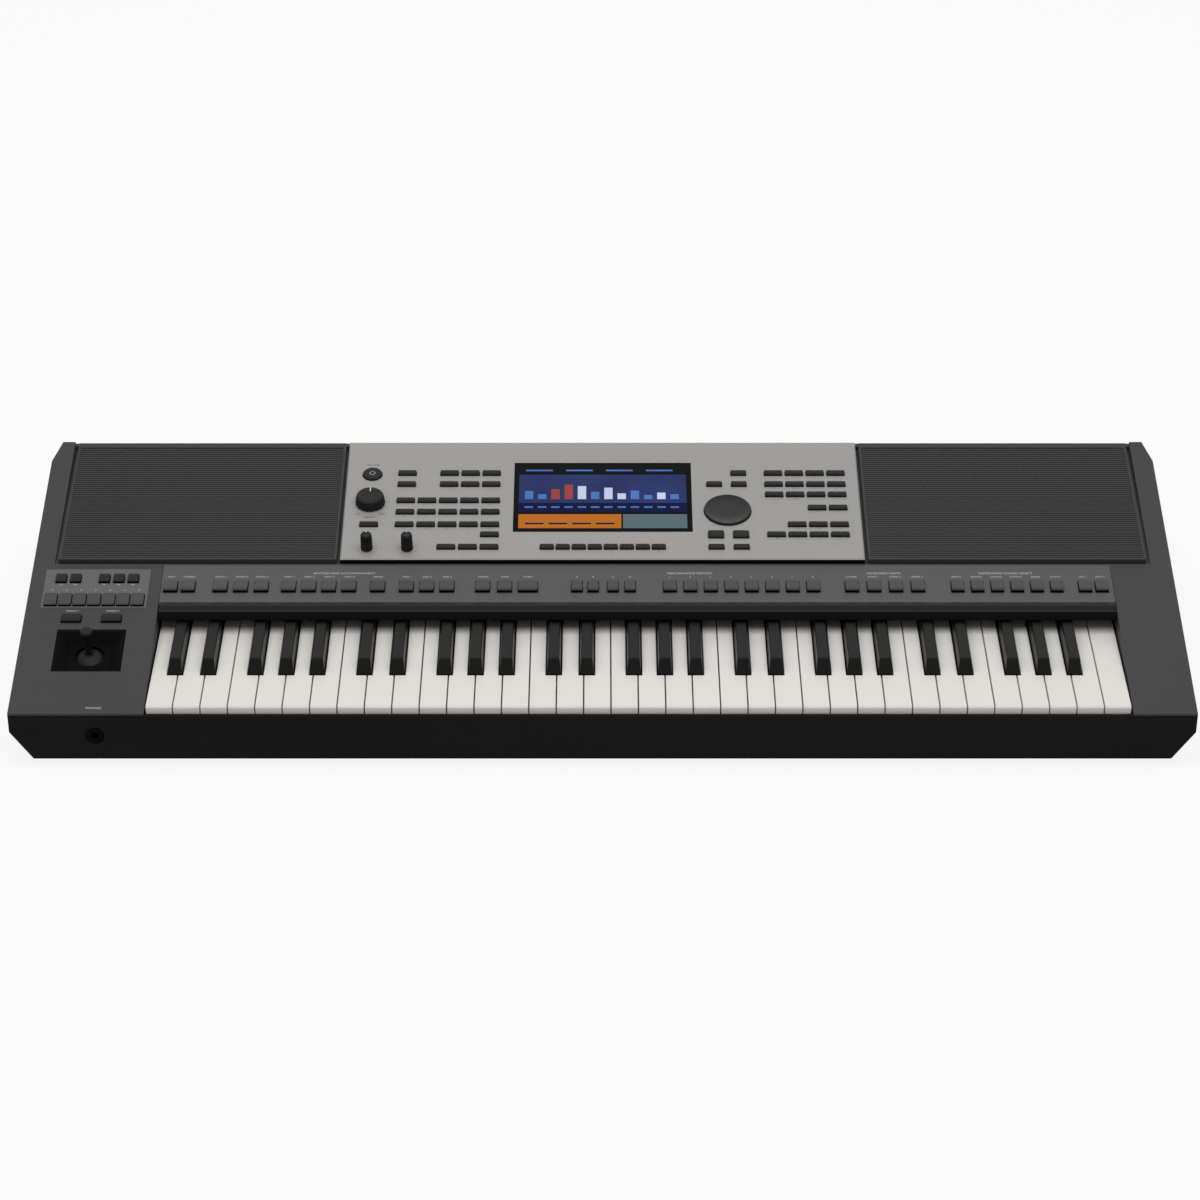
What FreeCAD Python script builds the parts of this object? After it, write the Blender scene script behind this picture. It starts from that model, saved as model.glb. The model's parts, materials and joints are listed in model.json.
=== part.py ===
import FreeCAD
import Part
import math
import os

# Arranger keyboard in millimetres. X runs to the player's right, Y away from the player, Z up.
# The origin lies on the table, under the middle of the case.

# Case
FOOT_HEIGHT = 8.5
FOOT_RADIUS = 13.0
FOOT_TAPER = 2.0
FOOT_SIDES = 12
FOOT_INSET_X = 70.0
FOOT_INSET_Y = 45.0
FRONT_EDGE_HEIGHT = 55.0
PARTING_DROP = 2.0
WALL = 3.0
DECK_SLOPE = 10.4
LEFT_CHEEK_WIDTH = 116.8
RIGHT_CHEEK_WIDTH = 55.3
SIDE_CHAMFER_WIDTH = 19.0
SIDE_CHAMFER_HEIGHT = 27.5
REAR_CORNER_WIDTH = 13.6
REAR_CORNER_LENGTH = 49.0
REAR_RIM = 3.5
REAR_BEVEL_LENGTH = 22.0
REAR_BEVEL_DROP = 25.0
SIDE_RIM = 19.0
SEAT_GAP = 0.3

# Keys
WHITE_KEYS = 36
KEY_PITCH = 23.5
KEY_GAP = 1.0
KEY_END_GAP = 0.95
KEY_SETBACK = 4.0
KEY_THICKNESS = 12.0
KEY_FRONT_THICKNESS = 18.0
KEY_EDGE = 1.6
KEY_DIP_ANGLE = 2.7
BLACK_START = 50.0
BLACK_RISE = 12.0
BLACK_FRONT_SLANT = 8.0
BLACK_BASE_WIDTH = 12.4
BLACK_TOP_WIDTH = 9.8
BLACK_SIDE_GAP = 0.9
KEY_SHOULDER = 152.0
PIVOT_REACH = 215.0
PIVOT_BELOW_KEYS = 0.8
PIVOT_RADIUS = 2.0
PIVOT_FIT = 0.06
TAIL_LENGTH = 7.0

# Pitch classes: a black key follows a white key and stands a little off the line between two white keys
WHITE_CLASSES = ("c", "d", "e", "f", "g", "a", "b")
BLACK_CLASSES = {
    "c_sharp": (0, -2.6),
    "d_sharp": (1, 2.6),
    "f_sharp": (3, -3.4),
    "g_sharp": (4, 0.0),
    "a_sharp": (5, 3.4),
}

# Nameboard nose and button strip
NOSE_RUN = 18.5
NOSE_HEIGHT = 7.3
NOSE_BOTTOM_GAP = 1.3
NOSE_THICKNESS = 2.5
NOSE_FLANGE = 11.0
NOSE_FULLNESS = 0.62
STRIP_REACH = 139.5
STRIP_LENGTH = 49.5
STRIP_LEDGE = 8.0
STRIP_POST_COUNT = 4
STRIP_POST_INSET = 6.0
POST_HALF = 3.0

# Control panel and grilles, laid out on a plane with its own slope
PANEL_SLOPE = 8.5
PANEL_STEP = 5.0
PANEL_FRONT_GAP = 2.0
PANEL_PLATE = 3.0
PANEL_DEPTH = 7.0
PANEL_EDGE_CHAMFER = 1.2
PANEL_BOARD_INSET = 8.5
GRILLE_DROP = 1.5
GRILLE_PLATE = 1.6
GRILLE_FRONT_INSET = 1.4
REAR_FLANGE = 4.8
GROOVE = 3.0
GRILLE_ROW_COUNT = 14
GRILLE_SLOT = 3.0
GRILLE_MARGIN = 9.0
WELL_FLOOR = 3.0

# Panel layout from the left edge to the right, and from the front edge backwards
KNOB_COLUMN_INSET = 23.5
KNOB_TO_BUTTONS = 32.2
CAP_WIDTH = 16.4
CAP_LENGTH = 5.6
CAP_RISE = 2.4
CAP_BEVEL = 0.9
CAP_CLEARANCE = 0.4
CAP_TRAVEL = 1.2
CAP_DEPTH = 2.5
SWITCH_CLEARANCE = 0.7
LEFT_COLUMN_COUNT = 5
LEFT_COLUMN_PITCH = 19.4
DISPLAY_SIDE_GAP = 13.0
DISPLAY_WIDTH = 162.3
DISPLAY_FRONT = 38.4
DISPLAY_LENGTH = 100.2
DISPLAY_REAR_GAP = 27.4
DISPLAY_MODULE_DEPTH = 8.0
DISPLAY_BOARD_GAP = 3.0
DISPLAY_BORDER = 4.0
DIAL_GAP = 11.0
DIAL_RADIUS = 21.5
DIAL_RISE = 2.5
DIAL_EDGE = 1.0
DIAL_FACETS = 32
DIAL_TO_BUTTONS = 43.3
RIGHT_COLUMN_COUNT = 4
RIGHT_COLUMN_PITCH = 19.2
RIGHT_INSET = 20.5
ROW_LIVE = 14.0
ROW_1 = 15.8
ROW_2 = 33.4
ROW_3 = 47.8
ROW_4 = 65.9
ROW_4_RIGHT = 71.9
ROW_5 = 82.4
ROW_5_RIGHT = 91.1
ROW_6 = 106.2
ROW_7 = 122.5
DIAL_ROW = 68.4
VOLUME_ROW = 79.5
POWER_ROW = 121.3
SCREEN_CAP_COUNT = 8
SCREEN_CAP_PITCH = 14.4
SCREEN_CAP_WIDTH = 12.2
NAVIGATION_SPREAD = 11.3
NAVIGATION_CAP_WIDTH = 14.0
ARROW_CAP_LENGTH = 9.0

# Knobs, on potentiometers that stand on the panel board
VOLUME_RADIUS = 13.7
VOLUME_HEIGHT = 9.0
VOLUME_FLUTES = 14
LIVE_RADIUS = 5.5
LIVE_HEIGHT = 17.0
LIVE_FLUTES = 9
LIVE_KNOB_SPACING = 36.2
FLUTE_DEPTH = 0.7
KNOB_LIFT = 0.6
KNOB_TAPER = 0.08
KNOB_CROWN = 1.4
POINTER_WIDTH = 1.1
SHAFT_RADIUS = 3.0
SHAFT_FIT = 0.06
POT_WIDTH = 12.0
POT_HEIGHT = 8.0
POT_FLOOR = 2.0
POWER_RADIUS = 9.0
POWER_RISE = 2.0
POWER_EDGE = 0.8
POWER_FACETS = 24

# Buttons on the strip: rows of (first place, pitch, count, cap width), places in divisions of the strip
STRIP_DIVISIONS = 36
STRIP_CAP_ROW = 13.0
STRIP_CAP_LENGTH = 15.0
STRIP_CAP_RISE = 4.2
STRIP_CAP_SLANT = 3.0
RHYTHM_ROWS = (
    (0.38, 0.664, 2, 12.0),
    (2.255, 0.774, 3, 12.6),
    (4.84, 0.757, 4, 12.6),
    (8.2, 0.766, 1, 12.6),
    (9.285, 0.766, 3, 12.6),
    (12.17, 0.826, 2, 12.6),
    (13.88, 0.766, 1, 17.2),
)
MEMORY_ROWS = (
    (15.73, 0.613, 2, 9.6),
    (17.09, 0.647, 2, 9.6),
    (19.24, 0.774, 8, 11.6),
)
PART_ROWS = (
    (26.12, 0.83, 4, 12.0),
    (30.11, 0.749, 6, 11.0),
    (34.92, 0.634, 2, 11.2),
)

# Buttons on the left cheek, in the order of one octave
SHARP_SETBACK = 20.9
SHARP_TO_SCALE = 28.0
SCALE_TO_OCTAVE = 24.5
OCTAVE_TO_STICK = 40.2
SCALE_CAP_COUNT = 7
SCALE_PITCH = 12.85
SCALE_CAP_WIDTH = 11.0
SCALE_CAP_LENGTH = 15.0
SHARP_PLACES = (-2.5, -1.5, 0.5, 1.5, 2.5)
SHARP_CAP_WIDTH = 9.4
SHARP_CAP_LENGTH = 10.0
OCTAVE_CAP_WIDTH = 17.4
OCTAVE_CAP_LENGTH = 9.0
OCTAVE_SPACING = 35.4
CHEEK_BLOCK_INSET = 59.5

# Joystick
STICK_INSET = 61.5
BEZEL_WIDTH = 60.0
BEZEL_LENGTH = 53.0
BEZEL_DEPTH = 9.5
BEZEL_FLANGE = 4.0
DISH_DEPTH = 7.0
DISH_MARGIN = 2.5
DISH_FLOOR_WIDTH = 36.0
DISH_FLOOR_LENGTH = 32.0
STICK_HOLE_RADIUS = 13.0
STICK_PIVOT_DEPTH = 21.5
DOME_RADIUS = 17.0
DOME_ANGLE = 66.0
STICK_ROOT_RADIUS = 3.6
STICK_RADIUS = 2.8
STICK_RISE = 24.0
STICK_SIDES = 12
THUMB_RADIUS = 5.6
THUMB_THICKNESS = 5.0
THUMB_FLARE = 5.0
THUMB_EDGE = 1.2
STEM_HALF = 4.0
GIMBAL_HALF = 11.5
GIMBAL_WALL = 3.5
GIMBAL_THICKNESS = 6.0
GIMBAL_PIN_RADIUS = 2.0
PIN_SIDES = 12
HOUSING_INNER = 19.0
HOUSING_WALL = 3.0
HOUSING_DEPTH = 27.0

# Loudspeakers
FRAME_SIDES = 8
CONE_SIDES = 10
WOOFER_RADIUS = 62.0
WOOFER_HOLE_RADIUS = 54.0
WOOFER_KEY_GAP = 5.0
WOOFER_MAGNET_RADIUS = 30.0
WOOFER_MAGNET_LENGTH = 18.0
WOOFER_CAP_RADIUS = 16.0
TWEETER_RADIUS = 25.0
TWEETER_HOLE_RADIUS = 18.0
TWEETER_DEPTH = 20.0
TWEETER_MAGNET_RADIUS = 15.0
TWEETER_MAGNET_LENGTH = 9.0
TWEETER_CAP_RADIUS = 8.0
SPEAKER_ROW = 80.0
SPEAKER_FLANGE = 3.0
CONE_WALL = 2.0

# Key mechanism: benches of one moulded frame, spread between the key fronts and the pivot rod
FRAME_SHEET = 3.0
FRAME_PLATE = 4.0
FRONT_BENCH_SETBACK = 18.0
FRONT_BENCH_LENGTH = 24.0
MIDDLE_BENCH_LENGTH = 18.0
CONTACT_BENCH_LENGTH = 38.0
SPRING_BENCH_LENGTH = 16.0
PIVOT_BENCH_HALF = 8.0
STOP_RAIL_AHEAD = 24.0
STOP_RAIL_LEG = 12.0
STOP_RAIL_SHEET = 1.8
STOP_GAP = 0.5
FELT_THICKNESS = 2.5
FELT_GAP = 0.4
BOARD_THICKNESS = 1.6
RUBBER_BASE = 1.5
RUBBER_RISE = 7.0
RUBBER_MARGIN = 4.0
RUBBER_SLOPE = 5.0
SPRING_SHEET = 0.6
SPRING_DROP = 6.0
SPRING_REACH = 34.0
SPRING_CLEARANCE = 11.0

# Boards on the floor of the case
BOARD_HEIGHT = 24.0
BOARD_FRONT_GAP = 36.8
BOARD_GAP = 4.0
POST_INSET = 8.0
MAIN_BOARD_LEFT = -140.0
MAIN_BOARD_WIDTH = 290.0
BOARD_SPACING = 40.0
POWER_BOARD_WIDTH = 140.0
CHIP_SIZE = 22.0
CHIP_HEIGHT = 4.0
CHIP_COUNT = 3
SINK_INSET = 20.0
SINK_MARGIN = 12.0
SINK_HEIGHT = 12.0
SINK_FIN_COUNT = 4
SINK_FIN = 3.0

# Sockets: (nose width, nose height) of each kind in the bay at the rear
SOCKETS = ("jack", "jack", "round", "flat", "square", "inlet", "round", "jack", "jack")
SOCKET_NOSES = {
    "jack": (14.0, 14.0),
    "round": (20.0, 20.0),
    "flat": (15.0, 7.6),
    "square": (12.0, 11.2),
    "inlet": (12.0, 12.0),
}
SOCKET_FLANGE = 1.5
SOCKET_PROUD = 0.5
FLAT_WALL = 1.2
SQUARE_WALL = 1.7
FLAT_DEPTH = 14.0
FLAT_BODY = 16.0
JACK_BORE_RADIUS = 3.2
JACK_BORE_LENGTH = 22.0
JACK_BODY_LENGTH = 26.0
PHONES_NOSE_RADIUS = 8.0
PHONES_NOSE_SIDES = 16
PHONES_BODY_WIDTH = 18.0
PHONES_INSET = 73.4
ROUND_SOCKET_RADIUS = 7.6
ROUND_SOCKET_DEPTH = 9.0
ROUND_BODY = 14.0
INLET_RADIUS = 2.8
INLET_DEPTH = 10.0
INLET_BODY = 14.0
BAY_INSET = 180.0
BAY_MARGIN = 12.0
BAY_LIP = 3.75
BAY_DEPTH = 8.0
SOCKET_PITCH = 34.0

# Places worked out from the sizes above
FAR = 2000.0
FULL_TURN = 360.0
KEYS_WIDTH = WHITE_KEYS * KEY_PITCH
OPENING_WIDTH = KEYS_WIDTH + 2 * KEY_END_GAP
CASE_WIDTH = LEFT_CHEEK_WIDTH + OPENING_WIDTH + RIGHT_CHEEK_WIDTH
HALF_WIDTH = CASE_WIDTH / 2
OPENING_LEFT = -HALF_WIDTH + LEFT_CHEEK_WIDTH
OPENING_RIGHT = OPENING_LEFT + OPENING_WIDTH
KEYS_LEFT = OPENING_LEFT + KEY_END_GAP
DECK_RADIANS = math.radians(DECK_SLOPE)
PANEL_RADIANS = math.radians(PANEL_SLOPE)
STRIP_HEIGHT = FRONT_EDGE_HEIGHT + STRIP_REACH * math.tan(DECK_RADIANS)
KEY_TOP_HEIGHT = STRIP_HEIGHT - NOSE_HEIGHT - NOSE_BOTTOM_GAP - BLACK_RISE
PARTING_HEIGHT = FRONT_EDGE_HEIGHT - PARTING_DROP
STRIP_RUN = STRIP_LENGTH * math.cos(DECK_RADIANS)
STRIP_FRONT = STRIP_REACH / math.cos(DECK_RADIANS)
STRIP_CAP_CENTRE = STRIP_FRONT + STRIP_CAP_ROW + STRIP_CAP_LENGTH / 2
STRIP_CAP_REAR = STRIP_CAP_CENTRE + STRIP_CAP_LENGTH / 2 + CAP_CLEARANCE
PANEL_REACH = STRIP_REACH + STRIP_RUN + PANEL_FRONT_GAP
DISPLAY_REAR = DISPLAY_FRONT + DISPLAY_LENGTH
PANEL_LENGTH = DISPLAY_REAR + DISPLAY_REAR_GAP
PANEL_RUN = PANEL_LENGTH * math.cos(PANEL_RADIANS)
RIM_REACH = PANEL_REACH + PANEL_RUN + REAR_RIM
CASE_DEPTH = RIM_REACH + REAR_BEVEL_LENGTH
FRONT_Y = -CASE_DEPTH / 2
REAR_Y = CASE_DEPTH / 2
FLOOR_TOP = FOOT_HEIGHT + WALL
PANEL_FRONT_HEIGHT = FRONT_EDGE_HEIGHT + PANEL_REACH * math.tan(DECK_RADIANS) + PANEL_STEP
PANEL_WIDTH = (
    KNOB_COLUMN_INSET
    + KNOB_TO_BUTTONS
    + (LEFT_COLUMN_COUNT - 1) * LEFT_COLUMN_PITCH
    + CAP_WIDTH / 2
    + DISPLAY_SIDE_GAP
    + DISPLAY_WIDTH
    + DIAL_GAP
    + DIAL_RADIUS
    + DIAL_TO_BUTTONS
    + (RIGHT_COLUMN_COUNT - 1) * RIGHT_COLUMN_PITCH
    + RIGHT_INSET
)
PANEL_RIGHT = PANEL_WIDTH / 2
PANEL_LEFT = -PANEL_RIGHT
KNOB_COLUMN = PANEL_LEFT + KNOB_COLUMN_INSET
LEFT_FIRST = KNOB_COLUMN + KNOB_TO_BUTTONS
LEFT_LAST = LEFT_FIRST + (LEFT_COLUMN_COUNT - 1) * LEFT_COLUMN_PITCH
DISPLAY_LEFT = LEFT_LAST + CAP_WIDTH / 2 + DISPLAY_SIDE_GAP
DISPLAY_RIGHT = DISPLAY_LEFT + DISPLAY_WIDTH
DISPLAY_CENTRE = DISPLAY_LEFT + DISPLAY_WIDTH / 2
DIAL_CENTRE = DISPLAY_RIGHT + DIAL_GAP + DIAL_RADIUS
RIGHT_FIRST = DIAL_CENTRE + DIAL_TO_BUTTONS
WELL_HALF = HALF_WIDTH - SIDE_RIM
WELL_FRONT = -PANEL_FRONT_GAP / 2
WELL_REAR = PANEL_LENGTH + GROOVE / 2
REAR_LEDGE = -GRILLE_DROP - GRILLE_PLATE
WELL_UNDERSIDE = -PANEL_DEPTH - WELL_FLOOR
GRILLE_INNER = PANEL_RIGHT + GROOVE
GRILLE_OUTER = WELL_HALF - GROOVE
SPEAKER_SPACE = (GRILLE_OUTER - GRILLE_INNER - 2 * WOOFER_RADIUS - 2 * TWEETER_RADIUS) / 3
WOOFER_PLACE = GRILLE_INNER + SPEAKER_SPACE + WOOFER_RADIUS
TWEETER_PLACE = GRILLE_OUTER - SPEAKER_SPACE - TWEETER_RADIUS
PANEL_BOARD_DEPTH = PANEL_PLATE + DISPLAY_MODULE_DEPTH + DISPLAY_BOARD_GAP
STRIP_BOARD_DEPTH = WALL + CAP_DEPTH + CAP_TRAVEL + SWITCH_CLEARANCE
SHAFT_LOW = -PANEL_BOARD_DEPTH + POT_FLOOR
SPEAKER_HEIGHT = PANEL_FRONT_HEIGHT + SPEAKER_ROW * math.sin(PANEL_RADIANS)
WOOFER_FRONT_DROP = WOOFER_MAGNET_RADIUS * math.sin(PANEL_RADIANS)
WOOFER_ROOM = SPEAKER_HEIGHT - WOOFER_FRONT_DROP - KEY_TOP_HEIGHT - WOOFER_KEY_GAP
WOOFER_DEPTH = WOOFER_ROOM / math.cos(PANEL_RADIANS) + WELL_UNDERSIDE
CAP_LOW = -CAP_DEPTH - PANEL_PLATE
STRIP_CAP_LOW = -CAP_DEPTH - WALL
CHEEK_BLOCK_CENTRE = -HALF_WIDTH + CHEEK_BLOCK_INSET
CHEEK_BLOCK_HALF = SCALE_CAP_COUNT * SCALE_PITCH / 2
SHARP_ROW = PANEL_REACH / math.cos(DECK_RADIANS) - SHARP_SETBACK
SCALE_ROW = SHARP_ROW - SHARP_TO_SCALE
OCTAVE_ROW = SCALE_ROW - SCALE_TO_OCTAVE
STICK_ROW = OCTAVE_ROW - OCTAVE_TO_STICK
STICK_CENTRE = -HALF_WIDTH + STICK_INSET
KEY_FRONT_Y = FRONT_Y + KEY_SETBACK
KEY_BOTTOM = KEY_TOP_HEIGHT - KEY_THICKNESS
KEY_REAR = PIVOT_REACH + TAIL_LENGTH
KEY_DIP = math.tan(math.radians(KEY_DIP_ANGLE))
PIVOT_Y = KEY_FRONT_Y + PIVOT_REACH
PIVOT_Z = KEY_BOTTOM - PIVOT_BELOW_KEYS
PIVOT_BENCH = (PIVOT_REACH - PIVOT_BENCH_HALF, PIVOT_REACH + PIVOT_BENCH_HALF)
STOP_RAIL_REACH = PIVOT_REACH - STOP_RAIL_AHEAD
SPRING_TIP = PIVOT_BENCH[0] - SPRING_CLEARANCE
SPRING_BENCH = (SPRING_TIP - SPRING_REACH - SPRING_BENCH_LENGTH, SPRING_TIP - SPRING_REACH)
FRONT_BENCH = (FRONT_BENCH_SETBACK, FRONT_BENCH_SETBACK + FRONT_BENCH_LENGTH)
BENCH_GAP = (SPRING_BENCH[0] - FRONT_BENCH[1] - MIDDLE_BENCH_LENGTH - CONTACT_BENCH_LENGTH) / 3
MIDDLE_BENCH = (FRONT_BENCH[1] + BENCH_GAP, FRONT_BENCH[1] + BENCH_GAP + MIDDLE_BENCH_LENGTH)
CONTACT_BENCH = (MIDDLE_BENCH[1] + BENCH_GAP, MIDDLE_BENCH[1] + BENCH_GAP + CONTACT_BENCH_LENGTH)
OCTAVE = len(WHITE_CLASSES)
OCTAVES = (WHITE_KEYS - 1) // OCTAVE
FRAME_LEFT = OPENING_LEFT - FRAME_PLATE
FRAME_RIGHT = OPENING_RIGHT + FRAME_PLATE
BAY_LEFT = -HALF_WIDTH + BAY_INSET
BAY_RIGHT = BAY_LEFT + len(SOCKETS) * SOCKET_PITCH + 2 * BAY_MARGIN
BAY_FLOOR_Y = REAR_Y - BAY_DEPTH
BAY_LOW = FLOOR_TOP + BAY_LIP
BAY_HIGH = PARTING_HEIGHT - BAY_LIP
JACK_ROW = (BAY_LOW + BAY_HIGH) / 2
PHONES_X = -HALF_WIDTH + PHONES_INSET
BOARD_REAR = BAY_FLOOR_Y - WALL - JACK_BODY_LENGTH - BOARD_GAP
BOARD_FRONT = KEY_FRONT_Y + PIVOT_BENCH[1] + BOARD_FRONT_GAP
BOARD_TOP = BOARD_HEIGHT + BOARD_THICKNESS
POWER_BOARD_LEFT = MAIN_BOARD_LEFT + MAIN_BOARD_WIDTH + BOARD_SPACING
BOARD_SPANS = (
    (MAIN_BOARD_LEFT, MAIN_BOARD_LEFT + MAIN_BOARD_WIDTH),
    (POWER_BOARD_LEFT, POWER_BOARD_LEFT + POWER_BOARD_WIDTH),
)


def vector(x, y, z):
    return FreeCAD.Vector(x, y, z)


def box(x0, x1, y0, y1, z0, z1):
    return Part.makeBox(x1 - x0, y1 - y0, z1 - z0, vector(x0, y0, z0))


def disc(radius, z0, z1, x=0.0, y=0.0):
    return Part.makeCylinder(radius, z1 - z0, vector(x, y, z0))


def outline(start, steps, place):
    """Closed face from a start and steps: a point is a straight run, a pair is an arc's middle and end."""
    edges = []
    here = start
    for step in steps + [start]:
        if isinstance(step[0], tuple):
            middle, end = step
            edges.append(Part.Arc(place(*here), place(*middle), place(*end)).toShape())
        else:
            end = step
            edges.append(Part.LineSegment(place(*here), place(*end)).toShape())
        here = end
    return Part.Face(Part.Wire(edges))


def section_along_x(start, steps, x0, x1):
    """Solid of one YZ section between two X positions."""
    return outline(start, steps, lambda y, z: vector(x0, y, z)).extrude(vector(x1 - x0, 0, 0))


def section_along_y(start, steps, y0, y1):
    """Solid of one XZ section between two Y positions."""
    return outline(start, steps, lambda x, z: vector(x, y0, z)).extrude(vector(0, y1 - y0, 0))


def flat_face(points):
    return Part.Face(Part.makePolygon(points + points[:1]))


def stacked(rings):
    """Solid with flat faces between rings of points, listed from the lowest ring up."""
    faces = [flat_face(rings[0][::-1]), flat_face(rings[-1])]
    for lower, upper in zip(rings, rings[1:]):
        for i in range(len(lower)):
            faces.append(flat_face([lower[i - 1], lower[i], upper[i], upper[i - 1]]))
    return Part.Solid(Part.Shell(faces))


def rectangle_ring(x0, x1, y0, y1, z):
    return [vector(x0, y0, z), vector(x1, y0, z), vector(x1, y1, z), vector(x0, y1, z)]


def round_ring(radii, z):
    """Ring of points, evenly spread, at the given radii."""
    step = math.radians(FULL_TURN) / len(radii)
    return [
        vector(radius * math.cos((i + 0.5) * step), radius * math.sin((i + 0.5) * step), z)
        for i, radius in enumerate(radii)
    ]


def facetted(sides, radius, low, high):
    """Upright pin or plate with flat sides, its corners at the given radius."""
    return stacked([round_ring([radius] * sides, low), round_ring([radius] * sides, high)])


def pin(radius, low, high):
    return facetted(PIN_SIDES, radius, low, high)


def pin_hole(radius, fit, low, high):
    """Many-sided hole whose flats clear a pin by the fit."""
    corner = (radius + fit) / math.cos(math.pi / PIN_SIDES)
    return facetted(PIN_SIDES, corner, low, high)


def moved(shape, x, y, z):
    copy = shape.copy()
    copy.translate(vector(x, y, z))
    return copy


def joined(shapes):
    return shapes[0].multiFuse(shapes[1:]).removeSplitter()


def less(shape, tools):
    return shape.cut(Part.makeCompound(tools))


def laid(shape, reach, height, slope):
    """Shape drawn flat, laid on a plane that rises to the rear from one line of the case."""
    copy = shape.copy()
    tilt = FreeCAD.Rotation(vector(1, 0, 0), slope)
    copy.Placement = FreeCAD.Placement(vector(0, FRONT_Y + reach, height), tilt).multiply(copy.Placement)
    return copy


def on_deck(shape):
    return laid(shape, 0.0, FRONT_EDGE_HEIGHT, DECK_SLOPE)


def on_panel(shape):
    return laid(shape, PANEL_REACH, PANEL_FRONT_HEIGHT, PANEL_SLOPE)


def deck_height(reach):
    return FRONT_EDGE_HEIGHT + reach * math.tan(DECK_RADIANS)


def panel_slab(x0, x1, front, rear, low, high):
    return on_panel(box(x0, x1, front, rear, low, high))


def deck_slab(x0, x1, front, rear, low, high):
    return on_deck(box(x0, x1, front, rear, low, high))


def post(x, y, low, high):
    return box(x - POST_HALF, x + POST_HALF, y - POST_HALF, y + POST_HALF, low, high)


# Buttons: every cap is (centre x, centre distance along its plane, width, length)


def row_of(first, pitch, count, distance, width, length):
    return [(first + i * pitch, distance, width, length) for i in range(count)]


def left_row(distance, columns):
    return [
        (LEFT_FIRST + column * LEFT_COLUMN_PITCH, distance, CAP_WIDTH, CAP_LENGTH) for column in columns
    ]


def right_row(distance, columns):
    return [
        (RIGHT_FIRST + column * RIGHT_COLUMN_PITCH, distance, CAP_WIDTH, CAP_LENGTH) for column in columns
    ]


def strip_caps(rows):
    division = OPENING_WIDTH / STRIP_DIVISIONS
    caps = []
    for first, pitch, count, width in rows:
        start = OPENING_LEFT + first * division
        caps.extend(row_of(start, pitch * division, count, STRIP_CAP_CENTRE, width, STRIP_CAP_LENGTH))
    return caps


ALL_LEFT = range(LEFT_COLUMN_COUNT)
ALL_RIGHT = range(RIGHT_COLUMN_COUNT)
STYLE_CAPS = left_row(ROW_5, ALL_LEFT) + left_row(ROW_4, ALL_LEFT) + left_row(ROW_3, ALL_LEFT)
FUNCTION_CAPS = (
    left_row(ROW_7, (0, 2, 3, 4))
    + left_row(ROW_6, (0, 2, 3, 4))
    + left_row(ROW_2, (4,))
    + left_row(ROW_1, (2, 3, 4))
    + [(KNOB_COLUMN, ROW_3, CAP_WIDTH, CAP_LENGTH)]
)
SCREEN_ROW = row_of(
    DISPLAY_CENTRE - (SCREEN_CAP_COUNT - 1) * SCREEN_CAP_PITCH / 2,
    SCREEN_CAP_PITCH,
    SCREEN_CAP_COUNT,
    ROW_1,
    SCREEN_CAP_WIDTH,
    CAP_LENGTH,
)
NAVIGATION_CAPS = [
    (DIAL_CENTRE + side * NAVIGATION_SPREAD, row, NAVIGATION_CAP_WIDTH, length)
    for side, row, length in (
        (1, ROW_7, CAP_LENGTH),
        (-1, ROW_6, CAP_LENGTH),
        (1, ROW_6, CAP_LENGTH),
        (-1, ROW_2, ARROW_CAP_LENGTH),
        (1, ROW_2, ARROW_CAP_LENGTH),
        (-1, ROW_1, CAP_LENGTH),
        (1, ROW_1, CAP_LENGTH),
    )
]
VOICE_CAPS = (
    right_row(ROW_7, ALL_RIGHT)
    + right_row(ROW_6, ALL_RIGHT)
    + right_row(ROW_5_RIGHT, ALL_RIGHT)
    + right_row(ROW_4_RIGHT, (2, 3))
    + right_row(ROW_3, (1, 2, 3))
    + right_row(ROW_2, ALL_RIGHT)
)
RHYTHM_CAPS = strip_caps(RHYTHM_ROWS)
MEMORY_CAPS = strip_caps(MEMORY_ROWS)
PART_CAPS = strip_caps(PART_ROWS)
SCALE_CAPS = (
    row_of(
        CHEEK_BLOCK_CENTRE - (SCALE_CAP_COUNT - 1) * SCALE_PITCH / 2,
        SCALE_PITCH,
        SCALE_CAP_COUNT,
        SCALE_ROW,
        SCALE_CAP_WIDTH,
        SCALE_CAP_LENGTH,
    )
    + [
        (CHEEK_BLOCK_CENTRE + place * SCALE_PITCH, SHARP_ROW, SHARP_CAP_WIDTH, SHARP_CAP_LENGTH)
        for place in SHARP_PLACES
    ]
    + row_of(
        CHEEK_BLOCK_CENTRE - OCTAVE_SPACING / 2,
        OCTAVE_SPACING,
        2,
        OCTAVE_ROW,
        OCTAVE_CAP_WIDTH,
        OCTAVE_CAP_LENGTH,
    )
)


def cap_holes(caps, depth):
    """Holes for caps, drawn flat and cut down through a plate."""
    holes = []
    for x, distance, width, length in caps:
        half_x = width / 2 + CAP_CLEARANCE
        half_y = length / 2 + CAP_CLEARANCE
        holes.append(box(x - half_x, x + half_x, distance - half_y, distance + half_y, -depth, depth))
    return holes


def slim_cap(x, distance, width, length):
    """Low cap with a bevel along the edge that faces the player."""
    front = distance - length / 2
    rear = distance + length / 2
    points = [
        (front, CAP_RISE - CAP_BEVEL),
        (front + CAP_BEVEL, CAP_RISE),
        (rear, CAP_RISE),
        (rear, CAP_LOW),
    ]
    return section_along_x((front, CAP_LOW), points, x - width / 2, x + width / 2)


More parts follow.
